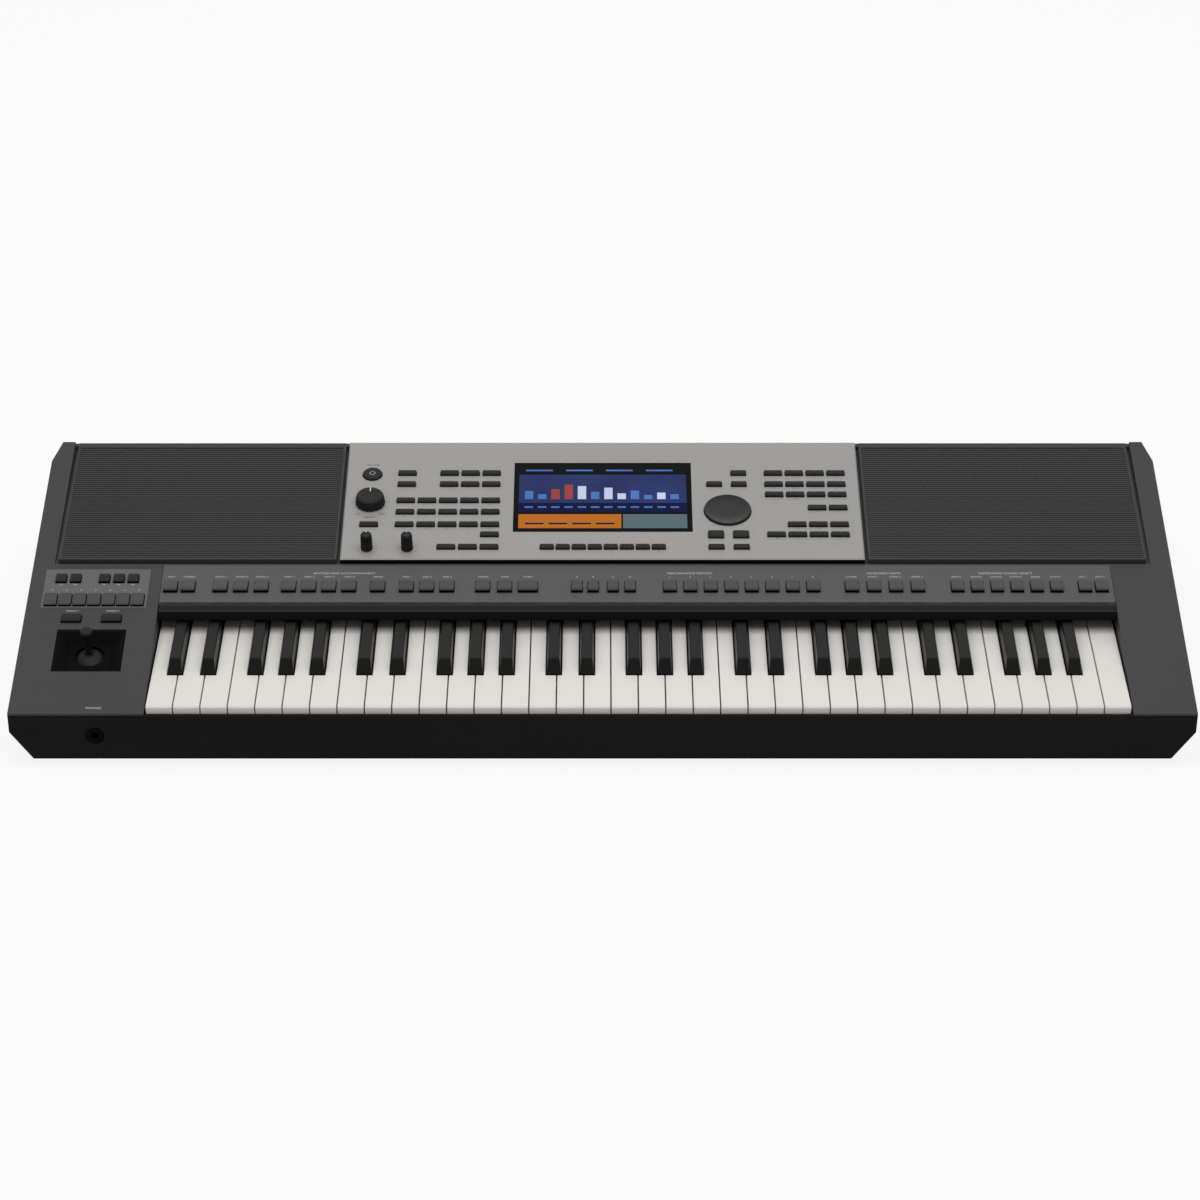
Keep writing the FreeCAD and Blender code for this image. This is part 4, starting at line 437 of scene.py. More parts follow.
def new_piece(name, mesh, body, finish=None, slot=None, nodes=()):
    """Object for a finished mesh, carried by a body and standing for solids where it replaces them."""
    piece = in_scene(name, mesh)
    if finish:
        mesh.materials.clear()
        mesh.materials.append(FINISHES[finish])
    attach(piece, body)
    if nodes:
        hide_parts(*nodes)
        slot = slot or SLOT_OF[nodes[0]]
    return piece


def mesh_from(form, name, sharp=None, place=None):
    """Mesh of a form: smooth with edges past the sharp angle left crisp, or flat where none is given."""
    bmesh.ops.remove_doubles(form, verts=form.verts, dist=SAME_CORNER)
    mesh = bpy.data.meshes.new(name)
    form.to_mesh(mesh)
    form.free()
    if sharp:
        mesh.shade_smooth()
        mesh.set_sharp_from_angle(angle=math.radians(sharp))
    if place:
        mesh.transform(place)
    return mesh


def formed_piece(name, form, body, finish, slot=None, nodes=(), sharp=None, place=None):
    return new_piece(name, mesh_from(form, name, sharp, place), body, finish, slot, nodes)


def evaluated_mesh(thing):
    """Plain mesh of an object with its modifiers worked in; the object itself goes."""
    bpy.context.view_layer.update()
    graph = bpy.context.evaluated_depsgraph_get()
    mesh = bpy.data.meshes.new_from_object(
        thing.evaluated_get(graph), preserve_all_data_layers=True, depsgraph=graph
    )
    name, old = thing.name, thing.data
    bpy.data.objects.remove(thing)
    (bpy.data.meshes if isinstance(old, bpy.types.Mesh) else bpy.data.curves).remove(old)
    return tuned(mesh, name=name)


def rounded_mesh(mesh, name, width, segments=2):
    """The mesh with its edges rounded and its faces left flat."""
    mesh.shade_smooth()
    thing = in_scene(name, mesh)
    bevel = thing.modifiers.new("edge", "BEVEL")
    tuned(bevel, width=width, segments=segments, limit_method="ANGLE", angle_limit=math.radians(ROUNDED))
    tuned(thing.modifiers.new("flat faces", "WEIGHTED_NORMAL"), weight=100, keep_sharp=True)
    return evaluated_mesh(thing)


def joined(node):
    """A CAD node's mesh with its loose triangles joined at their corners."""
    form = bmesh.new()
    form.from_mesh(NODES[node].data)
    bmesh.ops.remove_doubles(form, verts=form.verts, dist=SAME_CAD_CORNER)
    return form


def solid_copy(node):
    """Copy of a CAD node's mesh, its triangles joined to whole faces."""
    form = joined(node)
    bmesh.ops.dissolve_limit(form, angle_limit=math.radians(FLAT), verts=form.verts, edges=form.edges)
    mesh = bpy.data.meshes.new(node)
    form.to_mesh(mesh)
    form.free()
    return mesh


def dress(node, finish, width=None, segments=2):
    """A CAD node's own form in its finish, with its edges rounded, or crisp where no width is given."""
    mesh = solid_copy(node)
    if width:
        mesh = rounded_mesh(mesh, node + "_moulding", width, segments)
    else:
        mesh.shade_flat()
    return new_piece(node + "_moulding", mesh, BODY_OF[node], finish, nodes=(node,))


def darken_walls(piece, plane, facing=0.3):
    """Walls and edges that hardly face out of the plane get painted shade: the dark of the gaps between plates and
    caps is painted on them.
    """
    materials = piece.data.materials
    materials.append(FINISHES["recess black"])
    for face in piece.data.polygons:
        if face.normal.dot(plane.normal) < facing:
            face.material_index = len(materials) - 1


def islands(node):
    """Corner lists of the separate solids in a CAD node."""
    form = joined(node)
    seen = set()
    groups = []
    for first in form.verts:
        stack, group = [first], []
        while stack:
            vert = stack.pop()
            if vert not in seen:
                seen.add(vert)
                group.append(vert.co.copy())
                stack += [edge.other_vert(vert) for edge in vert.link_edges]
        if group:
            groups.append(group)
    form.free()
    return groups


def extent(plane, points):
    """Left, right, front, rear and top of points of the model on a plane."""
    across, along, above = zip(*(plane.flat(point) for point in points))
    return min(across), max(across), min(along), max(along), max(above)


def node_extent(plane, node):
    """Left, right, front and rear of a CAD node on a plane."""
    return extent(plane, [vert.co for vert in NODES[node].data.vertices])[:4]


def cap_spots(plane, node):
    """Middle, front edge, rear edge and top of each cap of a node on its plane."""
    spots = []
    for corners in islands(node):
        left, right, front, rear, top = extent(plane, corners)
        spots.append(((left + right) / 2, front, rear, top))
    return spots


def lettering(name, plane, items, finish, slot, turn=0.0):
    """Printed words on a plane, one mesh: each item is a word, its middle x, its v and its height."""
    form = bmesh.new()
    for word, x, v, height in items:
        curve = bpy.data.curves.new(name, "FONT")
        tuned(curve, body=word, size=height * MM, extrude=PRINT_THICKNESS * MM, resolution_u=2)
        tuned(curve, align_x="CENTER", align_y="CENTER")
        mesh = evaluated_mesh(in_scene(name, curve))
        mesh.transform(plane.matrix(x, v, PRINT_LIFT) @ Matrix.Rotation(turn, 4, "Z"))
        form.from_mesh(mesh)
        bpy.data.meshes.remove(mesh)
    formed_piece(name, form, "case", finish, slot)


def bridge(form, loops):
    """Walls from each loop of points to the next."""
    for low, high in zip(loops, loops[1:]):
        for i in range(len(low)):
            form.faces.new((low[i - 1], low[i], high[i], high[i - 1]))


def turned(profile, segments, flutes=0, depth=0.0, fluted=(), ring=False):
    """New form turned about Z from (radius, height) points, or a ring where they go round a section.

    The points whose places are named in fluted get scallops.
    """
    form = bmesh.new()
    loops = []
    for index, (radius, height) in enumerate(profile):
        loop = []
        for i in range(segments):
            turn = 2.0 * math.pi * i / segments
            reach = radius
            if index in fluted:
                reach -= depth * (0.5 - 0.5 * math.cos(flutes * turn)) ** 2
            x, y = reach * math.cos(turn), reach * math.sin(turn)
            loop.append(form.verts.new((x * MM, y * MM, height * MM)))
        loops.append(loop)
    if ring:
        bridge(form, loops + loops[:1])
        return form
    bridge(form, loops)
    form.faces.new(loops[0][::-1])
    form.faces.new(loops[-1])
    return form


def prism(outline, z0, z1, form=None):
    """Upright form over an outline of (x, y) points, new or added to another form."""
    form = form or bmesh.new()
    low, high = ([form.verts.new((x * MM, y * MM, z * MM)) for x, y in outline] for z in (z0, z1))
    form.faces.new(low[::-1])
    form.faces.new(high)
    bridge(form, [low, high])
    return form


def block(x0, x1, y0, y1, z0, z1, form=None):
    return prism(((x0, y0), (x1, y0), (x1, y1), (x0, y1)), z0, z1, form)


def framed(form, plane, x0, x1, v0, v1, steps):
    """Closed rectangular frame on a plane; each step is an inset from its outline and a height."""
    loops = []
    for inset, height in steps:
        left, right, front, rear = x0 + inset, x1 - inset, v0 + inset, v1 - inset
        corners = ((left, front), (right, front), (right, rear), (left, rear))
        loops.append([form.verts.new(plane.at(x, v, height)) for x, v in corners])
    bridge(form, loops + loops[:1])


def cut(mesh, cutter):
    """The mesh with the cutter's form taken out of it."""
    tool = in_scene("cutter", cutter)
    thing = in_scene(mesh.name, mesh)
    tuned(thing.modifiers.new("cut", "BOOLEAN"), object=tool, operation="DIFFERENCE", solver="EXACT")
    result = evaluated_mesh(thing)
    bpy.data.objects.remove(tool)
    bpy.data.meshes.remove(cutter)
    return result


# Geometry Nodes


def geometry_tree(name, **inputs):
    """New geometry tree with named inputs; returns it and its inputs as sockets to link from."""
    tree = bpy.data.node_groups.new(name, "GeometryNodeTree")
    for label, kind in {"Geometry": "Geometry", **inputs}.items():
        tree.interface.new_socket(label.replace("_", " "), in_out="INPUT", socket_type="NodeSocket" + kind)
    tree.interface.new_socket("Geometry", in_out="OUTPUT", socket_type="NodeSocketGeometry")
    return tree, add_node(tree, "NodeGroupInput")


def close_tree(tree, given, points, shape, turn):
    """End of a tree: the shape set on every point, realized, in the tree's material."""
    spots = add_node(tree, "GeometryNodeInstanceOnPoints", Points=points, Instance=shape, Rotation=turn)
    real = add_node(tree, "GeometryNodeRealizeInstances", Geometry=spots["Instances"])
    paint = add_node(tree, "GeometryNodeSetMaterial", Geometry=real["Geometry"], Material=given["Material"])
    add_node(tree, "NodeGroupOutput", Geometry=paint["Geometry"])
    return tree


@cache
def slat_rows_tree():
    """Rows of rounded slats, each a bar along X, stepped along the grille."""
    vectors = dict.fromkeys(("Start", "Step", "Half_Length", "Slope"), "Vector")
    tree, given = geometry_tree("slat rows", Rows="Int", Width="Float", Material="Material", **vectors)
    inputs = {"Count": given["Rows"], "Start Location": given["Start"], "Offset": given["Step"]}
    line = add_node(tree, "GeometryNodeMeshLine", **inputs)
    half = given["Half Length"]
    back = add_node(tree, "ShaderNodeVectorMath", half, settings={"operation": "SCALE"}, Scale=-1.0)
    bar = add_node(tree, "GeometryNodeCurvePrimitiveLine", Start=back["Vector"], End=half)
    radius = arithmetic(tree, "MULTIPLY", given["Width"], 0.5)
    rim = add_node(tree, "GeometryNodeCurvePrimitiveCircle", Resolution=10, Radius=radius)
    inputs = {"Curve": bar["Curve"], "Profile Curve": rim["Curve"], "Fill Caps": True}
    tube = add_node(tree, "GeometryNodeCurveToMesh", **inputs)
    slat = add_node(tree, "GeometryNodeSetShadeSmooth", Geometry=tube["Mesh"])
    return close_tree(tree, given, line["Mesh"], slat["Geometry"], given["Slope"])


@cache
def repeats_tree():
    """One shape set on every point of the object, turned alike."""
    tree, given = geometry_tree("repeats", Shape="Object", Turn="Vector", Material="Material")
    shape = add_node(tree, "GeometryNodeObjectInfo", Object=given["Shape"])
    return close_tree(tree, given, given["Geometry"], shape["Geometry"], given["Turn"])


@cache
def tick_fan_tree():
    """Marks spread round an arc, each pointing at the arc's centre."""
    tree, given = geometry_tree("tick fan", Marks="Int", Radius="Float", Size="Vector", Material="Material")
    sweep = {"Start Angle": math.radians(-55.0), "Sweep Angle": math.radians(290.0)}
    arc = add_node(tree, "GeometryNodeCurveArc", Radius=given["Radius"], **sweep)
    points = add_node(tree, "GeometryNodeCurveToPoints", Curve=arc["Curve"], Count=given["Marks"])
    mark = add_node(tree, "GeometryNodeMeshCube", Size=given["Size"])
    return close_tree(tree, given, points["Points"], mark["Mesh"], points["Rotation"])


def grown_piece(name, tree, slot, body="case", points=(), place=None, **values):
    """Piece that a geometry tree grows, on points where it takes some."""
    base = bpy.data.meshes.new(name)
    base.from_pydata([tuple(point) for point in points], [], [])
    thing = in_scene(name, base)
    growth = tuned(thing.modifiers.new("growth", "NODES"), node_group=tree)
    for item in tree.interface.items_tree:
        key = item.name.lower().replace(" ", "_")
        if item.in_out == "INPUT" and key in values:
            growth[item.identifier] = values[key]
    mesh = evaluated_mesh(thing)
    if place:
        mesh.transform(place)
    new_piece(name, mesh, body, slot=slot)


def repeated(name, points, tilt, mesh, finish, slot="steel", body="case"):
    """One piece of many copies of a small shape, each on a point and tilted about X."""
    shape = in_scene(name + "_shape", mesh)
    values = {"shape": shape, "turn": (tilt, 0.0, 0.0), "material": FINISHES[finish]}
    grown_piece(name, repeats_tree(), slot, body, points, **values)
    bpy.data.objects.remove(shape)
    bpy.data.meshes.remove(mesh)


# Operators


class ARRANGER_OT_finishes(bpy.types.Operator):
    """Make the shader groups and every finish, and give them to the solids inside the case."""

    bl_idname = "arranger.finishes"
    bl_label = "Finishes"

    INSIDE = {
        "board green": ("panel_board", "switch_boards", "main_board", "power_board", "key_contact_board"),
        "bright steel": ("key_pivot_rod", "key_stop_rail", "key_spring_comb"),
        "case black": ("key_frame", "joystick_housing"),
        "felt red": ("key_stop_felts",),
        "knob dark": ("joystick_gimbal",),
        "rubber": ("key_contact_rubber",),
        "socket black": ("display_module", "potentiometers"),
        "speaker cone": ("woofers", "tweeters"),
    }

    def execute(self, context):
        make_finishes()
        for finish, nodes in self.INSIDE.items():
            for node in nodes:
                materials = NODES[node].data.materials
                materials.clear()
                materials.append(FINISHES[finish])
        return {"FINISHED"}


class ARRANGER_OT_case(bpy.types.Operator):
    """Upper and lower case, button strip, nose, feet, screws and vents."""

    bl_idname = "arranger.case"
    bl_label = "Case"

    SCREW_COLUMNS = (-0.455, -0.3, -0.1, 0.1, 0.3, 0.455)
    FRONT_SCREWS = 0.018
    REAR_SCREWS = 0.022
    BAY_SCREW_REACH = 0.0145
    VENT_COLUMNS = (-0.2, 0.2)
    VENT_ROWS = [0.02 + 0.0065 * i for i in range(12)]

    def execute(self, context):
        edge = sizes()
        dress("upper_case", "case grey", edge.case_edge)
        dress("lower_case", "case black", edge.case_edge)
        # painted shade: the strip's walls, and the nose's faces below its top, are painted dark
        darken_walls(dress("button_strip", "strip grey", edge.plate_edge), DECK)
        darken_walls(dress("nameboard", "nose black", edge.plate_edge), DECK, 0.95)
        dress("rubber_feet", "rubber", edge.case_edge)
        self.screws()
        self.vents()
        return {"FINISHED"}

    def screw(self):
        """Round head, facing down, with a cross recess."""
        head = turned(((2.6, -0.9), (3.6, -0.6), (3.9, 0.1), (3.9, 0.3)), 16)
        arm, half = 2.1, 0.45
        plus = []
        for x, y in ((1, 0), (0, 1), (-1, 0), (0, -1)):
            tip, side = Vector((x, y)) * arm, Vector((-y, x)) * half
            plus += [tip - side, tip + side, Vector((x - y, x + y)) * half]
        cross = prism(plus, -1.5, -0.2)
        return cut(mesh_from(head, "screw", CRISP), mesh_from(cross, "cross"))

    def screws(self):
        """Screws in the underside and at the ends of the socket bay."""
        low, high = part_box("lower_case")
        rows = (low.y + self.FRONT_SCREWS, high.y - self.REAR_SCREWS)
        under = [(x, y, low.z) for x in self.SCREW_COLUMNS for y in rows]
        jacks = mouths("rear_jack")
        ends = ((jacks[0], -self.BAY_SCREW_REACH), (jacks[-1], self.BAY_SCREW_REACH))
        bay = [(jack.x + reach, jack.y - SOCKET_PROUD * MM, jack.z) for jack, reach in ends]
        repeated("case_screws", under, 0.0, self.screw(), "screw steel")
        repeated("bay_screws", bay, math.radians(90.0), self.screw(), "screw steel")

    def vents(self):
        """Two fields of slots in the underside, as thin dark shapes: painted shade of the slot openings."""
        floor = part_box("lower_case")[0].z
        points = [(x, y, floor) for x in self.VENT_COLUMNS for y in self.VENT_ROWS]
        half, radius = 17.0, 1.3
        turns = [math.radians(-90.0 + 30.0 * i) for i in range(7)]
        end = [(half + radius * math.cos(turn), radius * math.sin(turn)) for turn in turns]
        slot = mesh_from(prism(end + [(-x, -y) for x, y in end], -0.12, 0.3), "vent")
        repeated("base_vents", points, 0.0, slot, "recess black", SLOT_OF["lower_case"])


class ARRANGER_OT_keys(bpy.types.Operator):
    """White and black keys with rounded edges."""

    bl_idname = "arranger.keys"
    bl_label = "Keys"

    def execute(self, context):
        for node in WHITE_KEYS:
            dress(node, "key white", sizes().white_edge)
        for node in BLACK_KEYS:
            dress(node, "key black", sizes().black_edge, 3)
        return {"FINISHED"}


class ARRANGER_OT_panel(bpy.types.Operator):
    """Control panel, button caps and their lamp windows."""

    bl_idname = "arranger.panel"
    bl_label = "Panel and buttons"

    # reach of the scale row's caps before and behind their rear edge
    ROW_FRONT = 18.0
    ROW_REAR = 2.0
    LAMP_INSET = 1.7

    def execute(self, context):
        edge = sizes()
        # painted shade: the panel's walls are painted dark, as the shade in the gap under its edges
        darken_walls(dress("control_panel", "panel silver"), PANEL)
        for node in PANEL_CAPS:
            dress(node, "cap dark", edge.cap_edge)
        for node in STRIP_CAPS:
            caps = dress(node, "cap grey", edge.cap_edge)
            if node == "scale_buttons":
                self.scale_caps(node, caps.data)
            # painted shade: the caps' fronts and sides are painted dark, as the shade along their edges
            darken_walls(caps, DECK)
        for node in ("style_buttons", "voice_buttons"):
            self.lamps(node)
        return {"FINISHED"}

    def scale_caps(self, node, mesh):
        """The rows of small caps beside the scale row are darker than the scale row itself."""
        mesh.materials.append(FINISHES["cap dark"])
        rows = sorted(rear for _, _, rear, _ in cap_spots(DECK, node))
        scale_row = rows[len(rows) // 3]
        for face in mesh.polygons:
            row = DECK.flat(face.center)[1]
            if not scale_row - self.ROW_FRONT < row < scale_row + self.ROW_REAR:
                face.material_index = 1

    def lamps(self, node):
        """A lamp window near the rear edge of each cap."""
        points = [PANEL.at(x, rear - self.LAMP_INSET, top) for x, _, rear, top in cap_spots(PANEL, node)]
        window = mesh_from(block(-1.3, 1.3, -0.35, 0.35, -0.3, 0.08), "lamp")
        owner = SLOT_OF[node], BODY_OF[node]
        repeated(node + "_lamps", points, PANEL.slope(), window, "lamp window", *owner)


class ARRANGER_OT_lettering(bpy.types.Operator):
    """Plain printed words and numbers beside the controls."""

    bl_idname = "arranger.lettering"
    bl_label = "Lettering"

    TITLE_GAP, TITLE_HEIGHT = 10.2, 3.6
    WORD_GAP, WORD_HEIGHT = 5.6, 2.9
    SCALE_GAP, SHARP_GAP, SCALE_HEIGHT = 5.8, 2.2, 2.8
    NUMBER_GAP, NUMBER_HEIGHT = 2.0, 2.0
    # cap group, first and last cap under the title, title
    TITLES = (
        ("rhythm_buttons", 6, 9, "RHYTHM AND ACCOMPANIMENT"),
        ("memory_buttons", 4, 6, "PERFORMANCE MEMORY"),
        ("part_buttons", 0, 3, "KEYBOARD PARTS"),
        ("part_buttons", 4, 9, "INSTRUMENT SOUND SELECT"),
    )
    WORDS = {
        "rhythm_buttons": (
            "SPLIT,CHORD,INTRO 1,INTRO 2,INTRO 3,PART 1,PART 2,PART 3,PART 4,BREAK,END 1,END 2,END 3,"
            "TEMPO,SYNC,START"
        ),
        "memory_buttons": "A,B,C,D,1,2,3,4,5,6,7,8",
        "part_buttons": (
            "LOWER,UPPER 1,UPPER 2,UPPER 3,PIANO,ORGAN,GUITAR,STRINGS,BRASS,SYNTH,OCT -,OCT +"
        ),
    }
    SCALE_ROWS = ("ASSIGN 1,ASSIGN 2", "C,D,E,F,G,A,B", "C#,D#,F#,G#,A#")
    REAR_WORDS = "PEDAL 1,PEDAL 2,DATA IN,HOST,DEVICE,POWER,DATA OUT,OUT L,OUT R"

    def execute(self, context):
        lettering("deck_print", DECK, self.deck_words(), "print pale", "strip_grey")
        first, second = mouths("rear_jack")[:2]
        bay = Plane((0.0, first.y - SOCKET_PROUD * MM, first.z), (0.0, 1.0, 0.0))
        pitch = (second.x - first.x) / MM
        words = enumerate(self.REAR_WORDS.split(","))
        rear = [(word, first.x / MM + i * pitch, 14.0, 3.0) for i, word in words]
        lettering("rear_print", bay, rear, "print pale", "case_black", math.pi)
        lettering("panel_print", PANEL, self.panel_words(), "print dark", "panel_silver")
        return {"FINISHED"}

    def deck_words(self):
        items = []
        for node, first, last, title in self.TITLES:
            spots = sorted(cap_spots(DECK, node))
            middle = (spots[first][0] + spots[last][0]) / 2
            items.append((title, middle, spots[0][2] + self.TITLE_GAP, self.TITLE_HEIGHT))
        for node, words in self.WORDS.items():
            spots = sorted(cap_spots(DECK, node))
            for word, (x, _, rear, _) in zip(words.split(","), spots, strict=True):
                items.append((word, x, rear + self.WORD_GAP, self.WORD_HEIGHT))
        spots = sorted(cap_spots(DECK, "scale_buttons"), key=lambda spot: spot[2])
        for row in self.SCALE_ROWS:
            words = row.split(",")
            for word, (x, front, rear, _) in zip(words, sorted(spots[: len(words)]), strict=True):
                v = front - self.SHARP_GAP if "#" in word else rear + self.SCALE_GAP
                items.append((word, x, v, self.SCALE_HEIGHT))
            del spots[: len(words)]
        return items + [("PHONES", mouths("phones")[0].x / MM, 7.0, self.TITLE_HEIGHT)]

    def panel_words(self):
        items = []
        for node in ("screen_buttons", "style_buttons", "voice_buttons"):
            spots = sorted(cap_spots(PANEL, node), key=lambda spot: (-round(spot[2]), spot[0]))
            for i, (x, front, _, _) in enumerate(spots):
                items.append((str(i + 1), x, front - self.NUMBER_GAP, self.NUMBER_HEIGHT))
        x, v, _ = PANEL.flat(JOINTS["volume_knob_turn"]["pos_m"])
        items += [("MIN", x - 11.5, v - 16.0, 2.2), ("MAX", x + 11.5, v - 16.0, 2.2)]
        return items + [("VOLUME", x, v - 20.5, 2.6), ("ON / OFF", x, v + 56.0, 2.6)]


class ARRANGER_OT_display(bpy.types.Operator):
    """Dark pane and the lit areas of the display."""

    bl_idname = "arranger.display"
    bl_label = "Display"

    SIDE_MARGIN = 4.5
    FRONT_MARGIN = 5.0
    REAR_MARGIN = 4.0
    # finish, then left, right, front and rear as shares of the lit field
    FIELDS = (
        ("night", 0.0, 1.0, 0.86, 1.0),
        ("blue", 0.0, 1.0, 0.4, 0.855),
        ("deep", 0.0, 1.0, 0.25, 0.395),
        ("orange", 0.0, 0.61, 0.0, 0.22),
        ("teal", 0.62, 1.0, 0.0, 0.22),
    )
    FIELD_HEIGHT = 0.05
    MARK_HEIGHT = 0.09
    BAR_START, BAR_PITCH, BAR_WIDTH = 0.035, 0.079, 0.05
    BAR_FOOT, BAR_RISE = 0.46, 0.26
    LEVELS = (0.5, 0.3, 0.62, 0.9, 0.8, 0.45, 0.7, 0.35, 0.52, 0.25, 0.4, 0.3)
    TONES = "sky sky red red white sky white white sky sky white sky".split()

    def execute(self, context):
        mesh = rounded_mesh(solid_copy("display_glass"), "display_pane", sizes().plate_edge)
        new_piece("display_pane", mesh, "case", "pane black", nodes=("display_glass",))
        left, right, front, rear = node_extent(PANEL, "display_glass")
        left, right = left + self.SIDE_MARGIN, right - self.SIDE_MARGIN
        front, rear = front + self.FRONT_MARGIN, rear - self.REAR_MARGIN
        width, length = right - left, rear - front
        areas = [(self.FIELD_HEIGHT, *field) for field in self.FIELDS]
        areas += [(self.MARK_HEIGHT, *mark) for mark in self.marks()]
        form = bmesh.new()
        tones = []
        for height, tone, x0, x1, v0, v1 in areas:
            if tone not in tones:
                tones.append(tone)
            made = len(form.faces)
            x0, x1, v0, v1 = left + x0 * width, left + x1 * width, front + v0 * length, front + v1 * length
            block(x0, x1, v0, v1, -0.1, height, form)
            form.faces.ensure_lookup_table()
            for face in form.faces[made:]:
                face.material_index = tones.index(tone)
        place = PANEL.matrix()
        piece = formed_piece("display_image", form, "case", None, "display_glass", place=place)
        for tone in tones:
            piece.data.materials.append(FINISHES["screen " + tone])
        return {"FINISHED"}

    def marks(self):
        """Level bars with a mark under each, and two rows of dashes."""
        marks = []
        for i, (level, tone) in enumerate(zip(self.LEVELS, self.TONES)):
            start = self.BAR_START + i * self.BAR_PITCH
            end = start + self.BAR_WIDTH
            marks.append((tone, start, end, self.BAR_FOOT, self.BAR_FOOT + self.BAR_RISE * level))
            marks.append(("sky", start, end, 0.32, 0.345))
        for i in range(4):
            marks.append(("sky", 0.04 + i * 0.24, 0.2 + i * 0.24, 0.91, 0.935))
            marks.append(("deep", 0.04 + i * 0.14, 0.15 + i * 0.14, 0.06, 0.085))
        return marks


class ARRANGER_OT_knobs(bpy.types.Operator):
    """Volume and live knobs with pointers and scales, data dial and power button."""

    bl_idname = "arranger.knobs"
    bl_label = "Knobs and dial"

    # node, radius, top, flutes, depth of the flutes, radius of the scale
    KNOBS = (
        ("volume_knob", 13.7, 9.6, 18, 0.7, 17.0),
        ("live_knob_left", 5.5, 17.6, 12, 0.5, 8.6),
        ("live_knob_right", 5.5, 17.6, 12, 0.5, 8.6),
    )
    SHAFT = 3.0
    SHAFT_FOOT = -11.7

    def execute(self, context):
        for node, radius, top, flutes, depth, _ in self.KNOBS:
            self.knob(node, radius, top, flutes, depth)
        self.dial()
        dress("power_button", "knob dark", 0.0005, 3)
        self.power_mark()
        for node, *_, reach in self.KNOBS:
            self.scale_marks(node, reach)
        return {"FINISHED"}

    def place(self, node):
        x, v, _ = PANEL.flat(JOINTS[node + "_turn"]["pos_m"])
        return PANEL.matrix(x, v)

    def knob(self, node, radius, top, flutes, depth):
        neck = radius * 0.92
        body, place = BODY_OF[node], self.place(node)
        shaft = ((self.SHAFT, self.SHAFT_FOOT), (self.SHAFT, 0.6))
        skirt = ((radius - 0.4, 0.6), (radius, 1.0), (neck, top - 1.6), (neck - 0.35, top - 0.75))
        crown = ((neck - 1.2, top - 0.1), (neck - 1.9, top), (neck * 0.5, top - 0.25))
        form = turned(shaft + skirt + crown, flutes * 8, flutes, depth, (2, 3, 4, 5))
        formed_piece(node + "_turned", form, body, "knob dark", nodes=(node,), sharp=CRISP, place=place)
        half = 0.55
        form = block(-half, half, neck * 0.45, neck - 1.0, top - 0.5, top + 0.06)
        block(-half, half, neck - 0.9, neck + 0.05, top - 3.2, top - 1.2, form)
        formed_piece(node + "_pointer", form, body, "print white", SLOT_OF[node], place=place)

    def dial(self):
        rim = DIAL_RADIUS
        node = "data_dial"
        shaft = ((self.SHAFT, self.SHAFT_FOOT), (self.SHAFT, -3.0))
        edge = ((rim, -3.0), (rim, 1.5), (rim - 0.3, 2.15), (rim - 1.0, 2.5), (rim - 1.8, 2.4))
        face = ((rim - 3.0, 1.9), (rim * 0.5, 1.7), (1.0, 1.65))
        form = turned(shaft + edge + face, 120, 60, 0.35, (3, 4))
        place = self.place(node)
        formed_piece("data_dial_turned", form, node, "dial face", nodes=(node,), sharp=50.0, place=place)

    def power_mark(self):
        """Open ring with a short bar on the power button."""
        x, front, rear, top = cap_spots(PANEL, "power_button")[0]
        inner, outer, low, high = 2.2, 2.75, -0.2, 0.06
        spokes = [math.radians(125.0 + 290.0 * i / 24) for i in range(25)]
        outline = [(outer * math.cos(turn), outer * math.sin(turn)) for turn in spokes]
        outline += [(inner * math.cos(turn), inner * math.sin(turn)) for turn in reversed(spokes)]
        form = block(-0.28, 0.28, 1.2, 3.3, low, high, prism(outline, low, high))
        node, place = "power_button", PANEL.matrix(x, (front + rear) / 2, top)
        formed_piece("power_mark", form, node, "print pale", SLOT_OF[node], place=place)

    def scale_marks(self, node, radius):
        grown_piece(
            node + "_scale",
            tick_fan_tree(),
            "panel_silver",
            place=self.place(node),
            marks=11,
            radius=radius * MM,
            size=(1.4 * MM, 0.35 * MM, 0.1 * MM),
            material=FINISHES["print dark"],
        )


